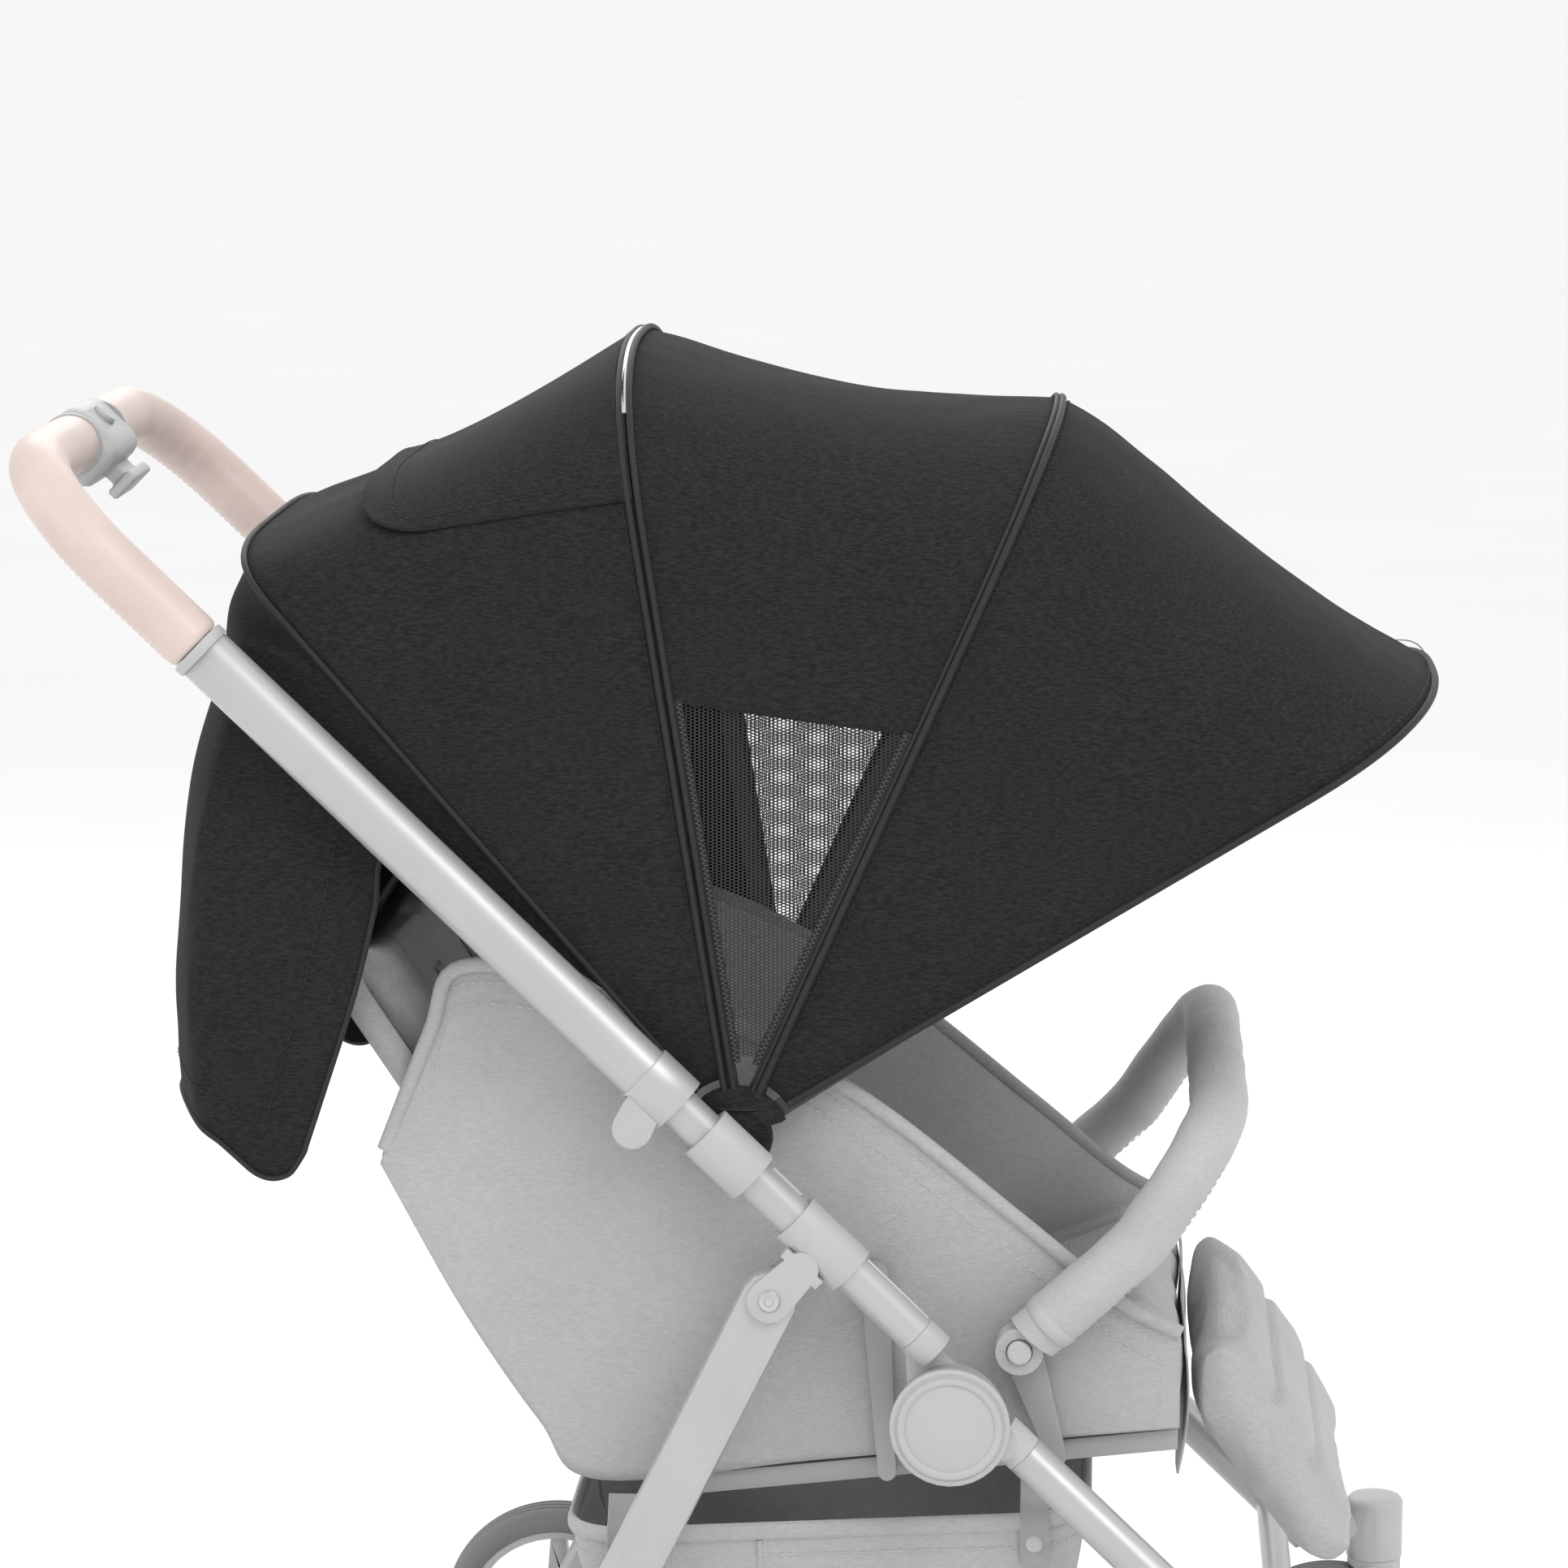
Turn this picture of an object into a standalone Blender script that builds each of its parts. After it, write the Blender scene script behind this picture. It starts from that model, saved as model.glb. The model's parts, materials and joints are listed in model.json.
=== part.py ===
"""A baby stroller: folding frame, telescopic leather handle, canopy, seat and basket.

Metres. +X is the way the stroller rolls, +Z is up, and the right-hand side is at -Y.
The origin lies on the ground, in the middle of the stroller's length and width.
"""

import math

import bmesh
import bpy
from mathutils import Matrix, Vector

# Canopy pivot: every side-view point below is (forward, up) from it.
PIVOT_X = -0.0001
PIVOT_Z = 0.590

# Main tube line, from the handle down to the hub.
SLOPE = math.radians(44.0)
TUBE_Y = 0.230
TUBE_OFFSET = (-0.006, -0.006)
TUBE_RADIUS = 0.014
TUBE_WALL = 0.002
FIT_GAP = 0.0003

# Stations along the main tube line, counted downwards from the canopy pivot.
HANDLE_BAR_AT = -0.6435
SLEEVE_TOP = -0.4825
SLEEVE_BOTTOM = -0.052
MID_TUBE_TOP = -0.200
MID_TUBE_BOTTOM = 0.176
BRACKET_AT = 0.0895
BRACKET_DROP = -0.050
HUB_AT = 0.2335
HUB_DROP = -0.026
FRONT_LEG_TOP = 0.285
FRONT_LEG_BOTTOM = 0.575
FRONT_LEG_DROP = -0.0085

# Handle.
HANDLE_CORNER = 0.085
GRIP_RADIUS = 0.020
SLEEVE_TALL = 0.0190
SLEEVE_WIDE = 0.0165
HOUSING_HALF = 0.045

# Wheels and casters.
REAR_WHEEL_RADIUS = 0.090
FRONT_WHEEL_RADIUS = 0.078
WHEEL_FLATS = 40
REAR_AXLE_X = -0.171
REAR_WHEEL_Y = 0.266
REAR_WHEEL_WIDTH = 0.036
CASTER_X = 0.452
CASTER_TRAIL = 0.032
FRONT_WHEEL_WIDTH = 0.030

# Canopy bows: angle from straight ahead, shoulder radius, crown radius, roundness.
REAR_EDGE = (131.0, 0.455, 0.512, 3.6)
REAR_BOW = (99.0, 0.400, 0.522, 2.5)
MID_BOW = (66.0, 0.360, 0.514, 2.4)
FRONT_EDGE = (31.5, 0.430, 0.548, 2.6)
CANOPY_HALF = 0.2120
CLOTH = 0.003
BOW_LEVELS = (0.2014, 0.2043, 0.2072)
BOW_THICK = 0.0022
BOW_WIDE = 0.012
WINDOW_TOP = 0.300

# How far the cloth dips between the bows, and how much nearer the front its lowest line is.
REAR_SAG = 0.029
MID_SAG = 0.035
FRONT_SAG = 0.029
FRONT_SKEW = 1.3
FRONT_BOW_SHARE = 0.05
FRONT_BOW_DROP = 0.012

# Rear drop flap: side views of its rear wall, its corner and its wing's front edge.
FLAP_REAR = (
    (-0.339, 0.381),
    (-0.3455, 0.345),
    (-0.352, 0.300),
    (-0.374, 0.225),
    (-0.386, 0.110),
    (-0.385, 0.050),
    (-0.382, 0.018),
)
FLAP_CORNER = (
    (-0.302, 0.336),
    (-0.309, 0.312),
    (-0.318, 0.285),
    (-0.340, 0.220),
    (-0.352, 0.110),
    (-0.352, 0.040),
    (-0.347, -0.012),
)
FLAP_FRONT = (
    (-0.088, 0.096),
    (-0.186, 0.172),
    (-0.232, 0.184),
    (-0.241, 0.150),
    (-0.256, 0.090),
    (-0.279, 0.020),
    (-0.299, -0.058),
)
FLAP_STEPS = (0.0, 0.075, 0.145)
FLAP_HALF = 0.205
FLAP_TURN = 0.6
FLAP_BELOW_EDGE = 0.002

# Seat.
SEAT_HALF = 0.165
BACK_HINGE = (-0.055, -0.222)
BACK_ANGLE = 124.0
BACK_LENGTH = 0.390
PAN_BACK = (-0.055, -0.248)
PAN_RISE = 0.114
PAN_THICK = 0.014
LEG_REST_HINGE = (0.312, -0.165)
BUMPER_PIVOT = (0.189, -0.145)
BUMPER_KNEE = (0.268, -0.072)
BUMPER_BEND = (0.3215, 0.010)
BUMPER_ARM_Y = 0.203
BUMPER_RADIUS = 0.0190

COLOURS = {
    "frame_grey": ((0.60, 0.60, 0.60), 0.32, 0.85),
    "joint_grey": ((0.58, 0.58, 0.58), 0.45, 0.0),
    "leather": ((0.80, 0.66, 0.60), 0.50, 0.0),
    "canopy_cloth": ((0.027, 0.027, 0.028), 0.95, 0.0),
    "canopy_mesh": ((0.05, 0.05, 0.05), 0.90, 0.0),
    "seat_cloth": ((0.55, 0.55, 0.55), 0.95, 0.0),
    "bumper_foam": ((0.60, 0.60, 0.60), 0.70, 0.0),
    "board": ((0.45, 0.45, 0.45), 0.60, 0.0),
    "webbing": ((0.50, 0.50, 0.50), 0.85, 0.0),
    "bow_plastic": ((0.10, 0.10, 0.10), 0.50, 0.0),
    "tyre": ((0.30, 0.30, 0.30), 0.80, 0.0),
    "rim": ((0.62, 0.62, 0.62), 0.40, 0.0),
    "steel": ((0.55, 0.55, 0.56), 0.30, 1.0),
}

ALONG = Vector((math.cos(SLOPE), 0.0, -math.sin(SLOPE)))
ACROSS = Vector((math.sin(SLOPE), 0.0, math.cos(SLOPE)))
SIDES = (("right", -1), ("left", 1))


# ---------------------------------------------------------------- places


def at(point, y=0.0):
    """A side-view point (forward, up) from the canopy pivot, in world space."""
    return Vector((PIVOT_X + point[0], y, PIVOT_Z + point[1]))


def on_tube(station, drop=0.0, y=0.0):
    """A point beside the main tube line: its station, its height over the line, its y."""
    return at(TUBE_OFFSET, y) + ALONG * station + ACROSS * drop


def polar(centre, degrees, length):
    angle = math.radians(degrees)
    return (centre[0] + length * math.cos(angle), centre[1] + length * math.sin(angle))


# ---------------------------------------------------------------- shape helpers


def clear_scene():
    for obj in list(bpy.data.objects):
        bpy.data.objects.remove(obj, do_unlink=True)


def make_material(name):
    colour, roughness, metallic = COLOURS[name]
    material = bpy.data.materials.new(name)
    material.use_nodes = True
    shader = material.node_tree.nodes["Principled BSDF"]
    shader.inputs["Base Color"].default_value = (*colour, 1.0)
    shader.inputs["Roughness"].default_value = roughness
    shader.inputs["Metallic"].default_value = metallic
    return material


def material_named(name):
    return bpy.data.materials.get(name) or make_material(name)


def finish(name, bm, material, origin=None, smooth=True):
    """Turns a bmesh in world space into an object whose origin is where it turns."""
    bmesh.ops.remove_doubles(bm, verts=bm.verts, dist=0.00001)
    bmesh.ops.recalc_face_normals(bm, faces=bm.faces)
    place = Vector(origin) if origin else Vector()
    bmesh.ops.translate(bm, verts=bm.verts, vec=-place)
    mesh = bpy.data.meshes.new(name)
    bm.to_mesh(mesh)
    bm.free()
    if smooth:
        mesh.shade_smooth()
        mesh.set_sharp_from_angle(angle=math.radians(35))
    mesh.materials.append(material_named(material))
    obj = bpy.data.objects.new(name, mesh)
    obj.location = place
    bpy.context.scene.collection.objects.link(obj)
    return obj


def oval(tall, wide, count=20):
    """A ring of section points (tall, wide) with the given half sizes."""
    ring = []
    for index in range(count):
        angle = 2 * math.pi * index / count
        ring.append((tall * math.cos(angle), wide * math.sin(angle)))
    return ring


def rounded(points, radius, steps=6):
    """The polyline with each inner corner replaced by an arc."""
    path = [points[0]]
    for before, corner, after in zip(points, points[1:], points[2:]):
        back = (before - corner).normalized()
        ahead = (after - corner).normalized()
        half = back.angle(ahead) / 2
        middle = corner + (back + ahead).normalized() * (radius / math.sin(half))
        start = corner + back * (radius / math.tan(half)) - middle
        end = corner + ahead * (radius / math.tan(half)) - middle
        axis = start.cross(end).normalized()
        total = start.angle(end)
        for step in range(steps + 1):
            path.append(middle + Matrix.Rotation(total * step / steps, 3, axis) @ start)
    path.append(points[-1])
    return path


def directions(path):
    """The path's direction at each of its points."""
    result = []
    for index in range(len(path)):
        ahead = path[min(index + 1, len(path) - 1)] - path[index]
        behind = path[index] - path[max(index - 1, 0)]
        result.append((ahead.normalized() + behind.normalized()).normalized())
    return result


def ring_verts(bm, centre, tall_axis, wide_axis, section):
    return [bm.verts.new(centre + tall_axis * a + wide_axis * b) for a, b in section]


def bridge(bm, first, second):
    count = len(first)
    for index in range(count):
        after = (index + 1) % count
        bm.faces.new((first[index], first[after], second[after], second[index]))


def swept(bm, path, normal, section, hollow=None):
    """Carries a section along a flat path. normal is the path plane's normal."""
    outer = []
    inner = []
    for point, direction in zip(path, directions(path)):
        side = normal.cross(direction).normalized()
        outer.append(ring_verts(bm, point, side, normal, section))
        if hollow:
            inner.append(ring_verts(bm, point, side, normal, hollow))
    for first, second in zip(outer, outer[1:]):
        bridge(bm, first, second)
    for first, second in zip(inner, inner[1:]):
        bridge(bm, first, second)
    if hollow:
        bridge(bm, outer[0], inner[0])
        bridge(bm, outer[-1], inner[-1])
    else:
        bm.faces.new(outer[0])
        bm.faces.new(outer[-1])
    return bm


def prism(bm, outline, y_low, y_high):
    """A side-view outline, in world (x, z), extruded between two y values."""
    low = [bm.verts.new((x, y_low, z)) for x, z in outline]
    high = [bm.verts.new((x, y_high, z)) for x, z in outline]
    bm.faces.new(low)
    bm.faces.new(high)
    bridge(bm, low, high)
    return bm


def disc(bm, centre, radius, y_low, y_high, count=32):
    outline = []
    for a, b in oval(radius, radius, count):
        outline.append((centre.x + a, centre.z + b))
    return prism(bm, outline, y_low, y_high)


def rod(bm, start, end, radius, count=16):
    direction = (end - start).normalized()
    helper = Vector((0, 0, 1)) if abs(direction.z) < 0.9 else Vector((1, 0, 0))
    normal = direction.cross(helper).normalized()
    return swept(bm, [start, end], normal, oval(radius, radius, count))


def capsule_outline(start, end, start_radius, end_radius, steps=8):
    """A strap-shaped outline in (x, z) round two world points."""
    direction = (end - start).normalized()
    angle = math.atan2(direction.z, direction.x)
    outline = []
    ends = ((start, start_radius, math.pi / 2), (end, end_radius, -math.pi / 2))
    for centre, radius, first in ends:
        for step in range(steps + 1):
            turn = angle + first + math.pi * step / steps
            x = centre.x + radius * math.cos(turn)
            outline.append((x, centre.z + radius * math.sin(turn)))
    return outline


def block(bm, centre, axes, halves):
    """A box with its own axes: centre, three unit vectors, three half sizes."""
    corners = []
    for a in (-1, 1):
        for b in (-1, 1):
            for c in (-1, 1):
                offset = axes[0] * a * halves[0] + axes[1] * b * halves[1]
                corners.append(bm.verts.new(centre + offset + axes[2] * c * halves[2]))
    faces = ((0, 1, 3, 2), (4, 6, 7, 5), (0, 4, 5, 1), (2, 3, 7, 6), (0, 2, 6, 4), (1, 5, 7, 3))
    for face in faces:
        bm.faces.new([corners[index] for index in face])
    return bm


def softened(obj, width, segments=2, angle=35):
    """Rounds the sharp edges of an object."""
    modifier = obj.modifiers.new("rounding", "BEVEL")
    modifier.width = width
    modifier.segments = segments
    modifier.limit_method = "ANGLE"
    modifier.angle_limit = math.radians(angle)
    return obj


def combined(obj, builders, operation):
    """Adds or cuts each built shape with an exact Boolean, then makes it permanent."""
    for build in builders:
        bm = bmesh.new()
        build(bm)
        tool = finish(obj.name + "_tool", bm, obj.data.materials[0].name, smooth=False)
        modifier = obj.modifiers.new("join", "BOOLEAN")
        modifier.operation = operation
        modifier.solver = "EXACT"
        modifier.object = tool
        bpy.context.view_layer.update()
        graph = bpy.context.evaluated_depsgraph_get()
        mesh = bpy.data.meshes.new_from_object(obj.evaluated_get(graph))
        obj.modifiers.clear()
        obj.data = mesh
        bpy.data.objects.remove(tool, do_unlink=True)
    obj.data.shade_smooth()
    obj.data.set_sharp_from_angle(angle=math.radians(35))
    return obj


def joined(obj, builders):
    return combined(obj, builders, "UNION")


def cut(obj, builders):
    return combined(obj, builders, "DIFFERENCE")


# ---------------------------------------------------------------- main frame


HUB = on_tube(HUB_AT, HUB_DROP)
BRACKET = on_tube(BRACKET_AT, BRACKET_DROP)
REAR_AXLE = Vector((PIVOT_X + REAR_AXLE_X, 0.0, REAR_WHEEL_RADIUS * math.cos(math.pi / WHEEL_FLATS)))
Y_AXIS = Vector((0, 1, 0))


def mid_tube(side, sign):
    bm = bmesh.new()
    y = sign * TUBE_Y
    path = [on_tube(MID_TUBE_TOP, 0, y), on_tube(MID_TUBE_BOTTOM, 0, y)]
    bore = oval(TUBE_RADIUS - TUBE_WALL, TUBE_RADIUS - TUBE_WALL)
    swept(bm, path, Y_AXIS, oval(TUBE_RADIUS, TUBE_RADIUS), bore)
    finish("mid_tube_" + side, bm, "frame_grey")


def hub_upper(side, sign):
    """The half of the fold joint that stays with the main tube."""
    bm = bmesh.new()
    inner = sign * 0.2140
    outer = sign * 0.2290
    disc(bm, HUB, 0.034, inner, outer)
    obj = finish("hub_upper_" + side, bm, "joint_grey", origin=HUB)
    y = sign * TUBE_Y
    socket_end = on_tube(MID_TUBE_BOTTOM + 0.018, 0, y)
    plug_end = on_tube(MID_TUBE_BOTTOM - 0.030, 0, y)
    plug_radius = TUBE_RADIUS - TUBE_WALL - FIT_GAP
    socket_start = on_tube(MID_TUBE_BOTTOM + FIT_GAP, 0, y)

    def socket(tool):
        rod(tool, socket_start, socket_end, TUBE_RADIUS, 20)

    def plug(tool):
        rod(tool, plug_end, on_tube(MID_TUBE_BOTTOM + 0.01, 0, y), plug_radius, 20)

    def web(tool):
        low = on_tube(MID_TUBE_BOTTOM + 0.0105, -0.008)
        prism(tool, capsule_outline(low, HUB, 0.0095, 0.030), inner, outer)

    return joined(obj, [web, socket, plug])


def leg_bracket(side, sign):
    """A collar on the main tube with two cheeks that hold the top of the rear leg."""
    bm = bmesh.new()
    y = sign * TUBE_Y
    path = [on_tube(BRACKET_AT - 0.026, 0, y), on_tube(BRACKET_AT + 0.026, 0, y)]
    swept(bm, path, Y_AXIS, oval(0.0180, 0.0160))
    obj = finish("leg_bracket_" + side, bm, "joint_grey")
    collar_side = on_tube(BRACKET_AT, -0.0200)
    outline = capsule_outline(collar_side, BRACKET, 0.012, 0.015)

    def outer_cheek(tool):
        prism(tool, outline, y + 0.0098, y + 0.0140)

    def inner_cheek(tool):
        prism(tool, outline, y - 0.0140, y - 0.0098)

    def saddle(tool):
        centre = on_tube(BRACKET_AT, -0.0190, y)
        block(tool, centre, (ALONG, Y_AXIS, ACROSS), (0.016, 0.0140, 0.0035))

    def pin(tool):
        rod(tool, BRACKET + Y_AXIS * (y - 0.012), BRACKET + Y_AXIS * (y + 0.012), 0.005)

    def bore(tool):
        ends = (on_tube(BRACKET_AT - 0.04, 0, y), on_tube(BRACKET_AT + 0.04, 0, y))
        rod(tool, ends[0], ends[1], TUBE_RADIUS + FIT_GAP, 20)

    joined(obj, [saddle, outer_cheek, inner_cheek, pin])
    return cut(obj, [bore])


def canopy_mount(side, sign):
    """A collar on the main tube whose pin carries the canopy bows."""
    bm = bmesh.new()
    y = sign * TUBE_Y
    path = [on_tube(-0.019, 0, y), on_tube(0.025, 0, y)]
    bore = oval(TUBE_RADIUS + FIT_GAP, TUBE_RADIUS + FIT_GAP)
    swept(bm, path, Y_AXIS, oval(0.0195, 0.0195), bore)
    obj = finish("canopy_mount_" + side, bm, "joint_grey")
    pin_end = at((0, 0), sign * 0.1990)
    pin_root = at((0, 0), sign * 0.2145)

    def pin(tool):
        rod(tool, pin_end, pin_root, 0.0080)

    def head(tool):
        rod(tool, pin_end - Y_AXIS * sign * 0.002, pin_end, 0.0125)

    return joined(obj, [pin, head])


# ---------------------------------------------------------------- fold: front legs


def hub_lower(side, sign):
    """The outer half of the fold joint, with the front leg's socket and the round cap."""
    bm = bmesh.new()
    inner = sign * 0.2296
    outer = sign * 0.2470
    disc(bm, HUB, 0.0375, inner, outer, 32)
    obj = finish("hub_lower_" + side, bm, "joint_grey", origin=HUB)
    y = sign * TUBE_Y
    top = on_tube(FRONT_LEG_TOP, FRONT_LEG_DROP, y)
    socket_start = on_tube(FRONT_LEG_TOP - 0.022, FRONT_LEG_DROP, y)
    plug_radius = TUBE_RADIUS - TUBE_WALL - FIT_GAP

    def web(tool):
        middle = on_tube(FRONT_LEG_TOP - 0.020, FRONT_LEG_DROP - 0.004)
        prism(tool, capsule_outline(HUB, middle, 0.030, 0.0125), inner, sign * 0.2440)

    def socket(tool):
        rod(tool, socket_start, top - ALONG * FIT_GAP, TUBE_RADIUS, 20)

    def plug(tool):
        rod(tool, top - ALONG * 0.01, top + ALONG * 0.03, plug_radius, 20)

    def clear_disc(tool):
        disc(tool, HUB, 0.0348, sign * 0.2100, inner)

    def cap(tool):
        disc(tool, HUB, 0.0400, sign * 0.2465, sign * 0.2515, 32)

    def cap_step(tool):
        disc(tool, HUB, 0.0350, sign * 0.2510, sign * 0.2535, 32)

    joined(obj, [web, socket, plug])
    cut(obj, [clear_disc])
    return joined(obj, [cap, cap_step])


def front_leg(side, sign):
    """A round leg tube that ends in an upright caster housing."""
    bm = bmesh.new()
    y = sign * TUBE_Y
    top = on_tube(FRONT_LEG_TOP, FRONT_LEG_DROP, y)
    low = on_tube(FRONT_LEG_BOTTOM, FRONT_LEG_DROP, y)
    bore = oval(TUBE_RADIUS - TUBE_WALL, TUBE_RADIUS - TUBE_WALL)
    swept(bm, [top, low], Y_AXIS, oval(TUBE_RADIUS, TUBE_RADIUS), bore)
    obj = finish("front_leg_" + side, bm, "frame_grey", origin=HUB)

    def housing(tool):
        disc_centre = Vector((PIVOT_X + CASTER_X, y, 0.0))
        rod(tool, disc_centre + Vector((0, 0, 0.164)), disc_centre + Vector((0, 0, 0.206)), 0.021, 24)

    def elbow(tool):
        rod(tool, on_tube(FRONT_LEG_BOTTOM - 0.02, FRONT_LEG_DROP, y), caster_top(y), 0.0155, 20)

    return joined(obj, [elbow, housing])


def caster_top(y):
    return Vector((PIVOT_X + CASTER_X - 0.006, y, 0.187))


def front_cross_bar():
    """The round bar that ties the two front legs together."""
    bm = bmesh.new()
    centre = on_tube(FRONT_LEG_BOTTOM - 0.040, FRONT_LEG_DROP)
    reach = TUBE_Y - TUBE_RADIUS - FIT_GAP
    rod(bm, centre - Y_AXIS * reach, centre + Y_AXIS * reach, 0.0105, 16)
    finish("front_cross_bar", bm, "frame_grey", origin=HUB)


def caster_fork(side, sign):
    """A swivelling fork: stem, crown and two arms that hold the front wheel's axle."""
    y = sign * TUBE_Y
    stem_x = PIVOT_X + CASTER_X
    axle = front_axle(sign)
    bm = bmesh.new()
    low = Vector((stem_x, y, 0.158))
    rod(bm, low - Vector((0, 0, 0.010)), low + Vector((0, 0, 0.0055)), 0.0200, 24)
    obj = finish("caster_fork_" + side, bm, "joint_grey", origin=(stem_x, y, 0.164))
    half = FRONT_WHEEL_WIDTH / 2
    arms = []
    for near, far in ((-half - 0.0065, -half - 0.0015), (half + 0.0015, half + 0.0065)):
        crown_end = Vector((stem_x - 0.002, y, 0.146))
        outline = capsule_outline(axle, crown_end, 0.011, 0.015)
        limits = (y + near, y + far)
        arms.append(lambda tool, o=outline, lim=limits: prism(tool, o, lim[0], lim[1]))

    def crown(tool):
        block(
            tool,
            Vector((stem_x, y, 0.153)),
            (Vector((1, 0, 0)), Y_AXIS, Vector((0, 0, 1))),
            (0.014, half + 0.0065, 0.0045),
        )

    def wheel_space(tool):
        disc(tool, axle, FRONT_WHEEL_RADIUS + 0.003, y - half - 0.0015, y + half + 0.0015, 40)

    joined(obj, [crown] + arms)
    cut(obj, [wheel_space])
    reach = half + 0.0085

    def axle_pin(tool):
        rod(tool, axle - Y_AXIS * reach, axle + Y_AXIS * reach, 0.0040)

    return joined(obj, [axle_pin])


def front_axle(sign):
    height = FRONT_WHEEL_RADIUS * math.cos(math.pi / WHEEL_FLATS)
    return Vector((PIVOT_X + CASTER_X - CASTER_TRAIL, sign * TUBE_Y, height))


# ---------------------------------------------------------------- wheels


def turned_ring(bm, centre, profile, count):
    """Spins a closed (radius, y) profile about the Y axis through a point."""
    rings = []
    for radius, y in profile:
        ring = []
        for index in range(count):
            angle = 2 * math.pi * (index + 0.5) / count
            x = centre.x + radius * math.cos(angle)
            ring.append(bm.verts.new((x, centre.y + y, centre.z + radius * math.sin(angle))))
        rings.append(ring)
    for index in range(len(rings)):
        bridge(bm, rings[index], rings[(index + 1) % len(rings)])
    return bm


def tyre(name, centre, radius, width):
    """A foam tyre with a flat tread and rounded shoulders."""
    bm = bmesh.new()
    half = width / 2
    depth = 0.018
    profile = [
        (radius, -half * 0.45),
        (radius, half * 0.45),
        (radius - 0.0035, half * 0.85),
        (radius - 0.010, half),
        (radius - depth, half * 0.80),
        (radius - depth, -half * 0.80),
        (radius - 0.010, -half),
        (radius - 0.0035, -half * 0.85),
    ]
    turned_ring(bm, centre, profile, WHEEL_FLATS)
    finish(name, bm, "tyre", origin=centre)


def wheel_rim(name, centre, radius, width, bore):
    """A moulded wheel: outer band, five tapered spokes and a bored centre."""
    bm = bmesh.new()
    band = radius - 0.018 - FIT_GAP
    half = width * 0.40
    profile = [(band, -half), (band, half), (band - 0.005, half), (band - 0.007, 0.0), (band - 0.005, -half)]
    turned_ring(bm, centre, profile, WHEEL_FLATS)
    obj = finish(name, bm, "rim", origin=centre)

    def spoke(index):
        angle = 2 * math.pi * index / 5 + math.pi / 2
        tip = centre + Vector((math.cos(angle), 0, math.sin(angle))) * (band - 0.0075)
        outline = capsule_outline(centre, tip, 0.011, 0.0055, 4)
        return lambda tool: prism(tool, outline, centre.y - half * 0.75, centre.y + half * 0.75)

    def middle(tool):
        disc(tool, centre, 0.0165, centre.y - half * 1.05, centre.y + half * 1.05, 24)

    def axle_hole(tool):
        disc(tool, centre, bore, centre.y - width, centre.y + width, 16)

    joined(obj, [spoke(index) for index in range(5)] + [middle])
    return cut(obj, [axle_hole])


def wheels():
    for side, sign in SIDES:
        rear = Vector((REAR_AXLE.x, sign * REAR_WHEEL_Y, REAR_AXLE.z))
        tyre("rear_tyre_" + side, rear, REAR_WHEEL_RADIUS, REAR_WHEEL_WIDTH)
        wheel_rim("rear_rim_" + side, rear, REAR_WHEEL_RADIUS, REAR_WHEEL_WIDTH, 0.0053)
        front = front_axle(sign)
        tyre("front_tyre_" + side, front, FRONT_WHEEL_RADIUS, FRONT_WHEEL_WIDTH)
        wheel_rim("front_rim_" + side, front, FRONT_WHEEL_RADIUS, FRONT_WHEEL_WIDTH, 0.0043)


# ---------------------------------------------------------------- fold: rear legs


def rear_leg(side, sign):
    """A flat-sided oval leg from the bracket down to the rear axle."""
    y = sign * TUBE_Y
    bm = bmesh.new()
    top = BRACKET.copy()
    low = REAR_AXLE.copy()
    prism(bm, capsule_outline(top, low, 0.0195, 0.0185, 6), y - 0.0092, y + 0.0092)
    obj = finish("rear_leg_" + side, bm, "frame_grey", origin=BRACKET)

    def pin_hole(tool):
        disc(tool, top, 0.0053, y - 0.02, y + 0.02, 12)

    def axle_hole(tool):
        disc(tool, low, 0.0084, y - 0.02, y + 0.02, 12)

    cut(obj, [pin_hole, axle_hole])
    return softened(obj, 0.0045, 2, 60)


def rear_axle():
    """The steel axle, thicker between the legs, with stub ends for the wheels."""
    bm = bmesh.new()
    stub = REAR_WHEEL_Y + REAR_WHEEL_WIDTH / 2 + 0.001
    rod(bm, REAR_AXLE - Y_AXIS * stub, REAR_AXLE + Y_AXIS * stub, 0.0050)
    obj = finish("rear_axle", bm, "steel", origin=BRACKET)
    reach = TUBE_Y + 0.0092

    def beam(tool):
        rod(tool, REAR_AXLE - Y_AXIS * reach, REAR_AXLE + Y_AXIS * reach, 0.0080)

    return joined(obj, [beam])


def brake_pedal():
    """A foot pedal that turns on the axle beam next to the right leg."""
    y = -0.190
    bm = bmesh.new()
    path = [REAR_AXLE + Y_AXIS * (y - 0.022), REAR_AXLE + Y_AXIS * (y + 0.022)]
    rod(bm, path[0], path[1], 0.0140, 20)
    obj = finish("brake_pedal", bm, "joint_grey", origin=REAR_AXLE)

    def plate(tool):
        centre = REAR_AXLE + Vector((-0.034, y, 0.012))
        axes = (Vector((0.93, 0, -0.37)).normalized(), Y_AXIS, Vector((0.37, 0, 0.93)).normalized())
        block(tool, centre, axes, (0.024, 0.024, 0.0035))

    def bore(tool):
        rod(tool, path[0] - Y_AXIS * 0.01, path[1] + Y_AXIS * 0.01, 0.0083, 20)

    joined(obj, [plate])
    return cut(obj, [bore])


# ---------------------------------------------------------------- handle


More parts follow.
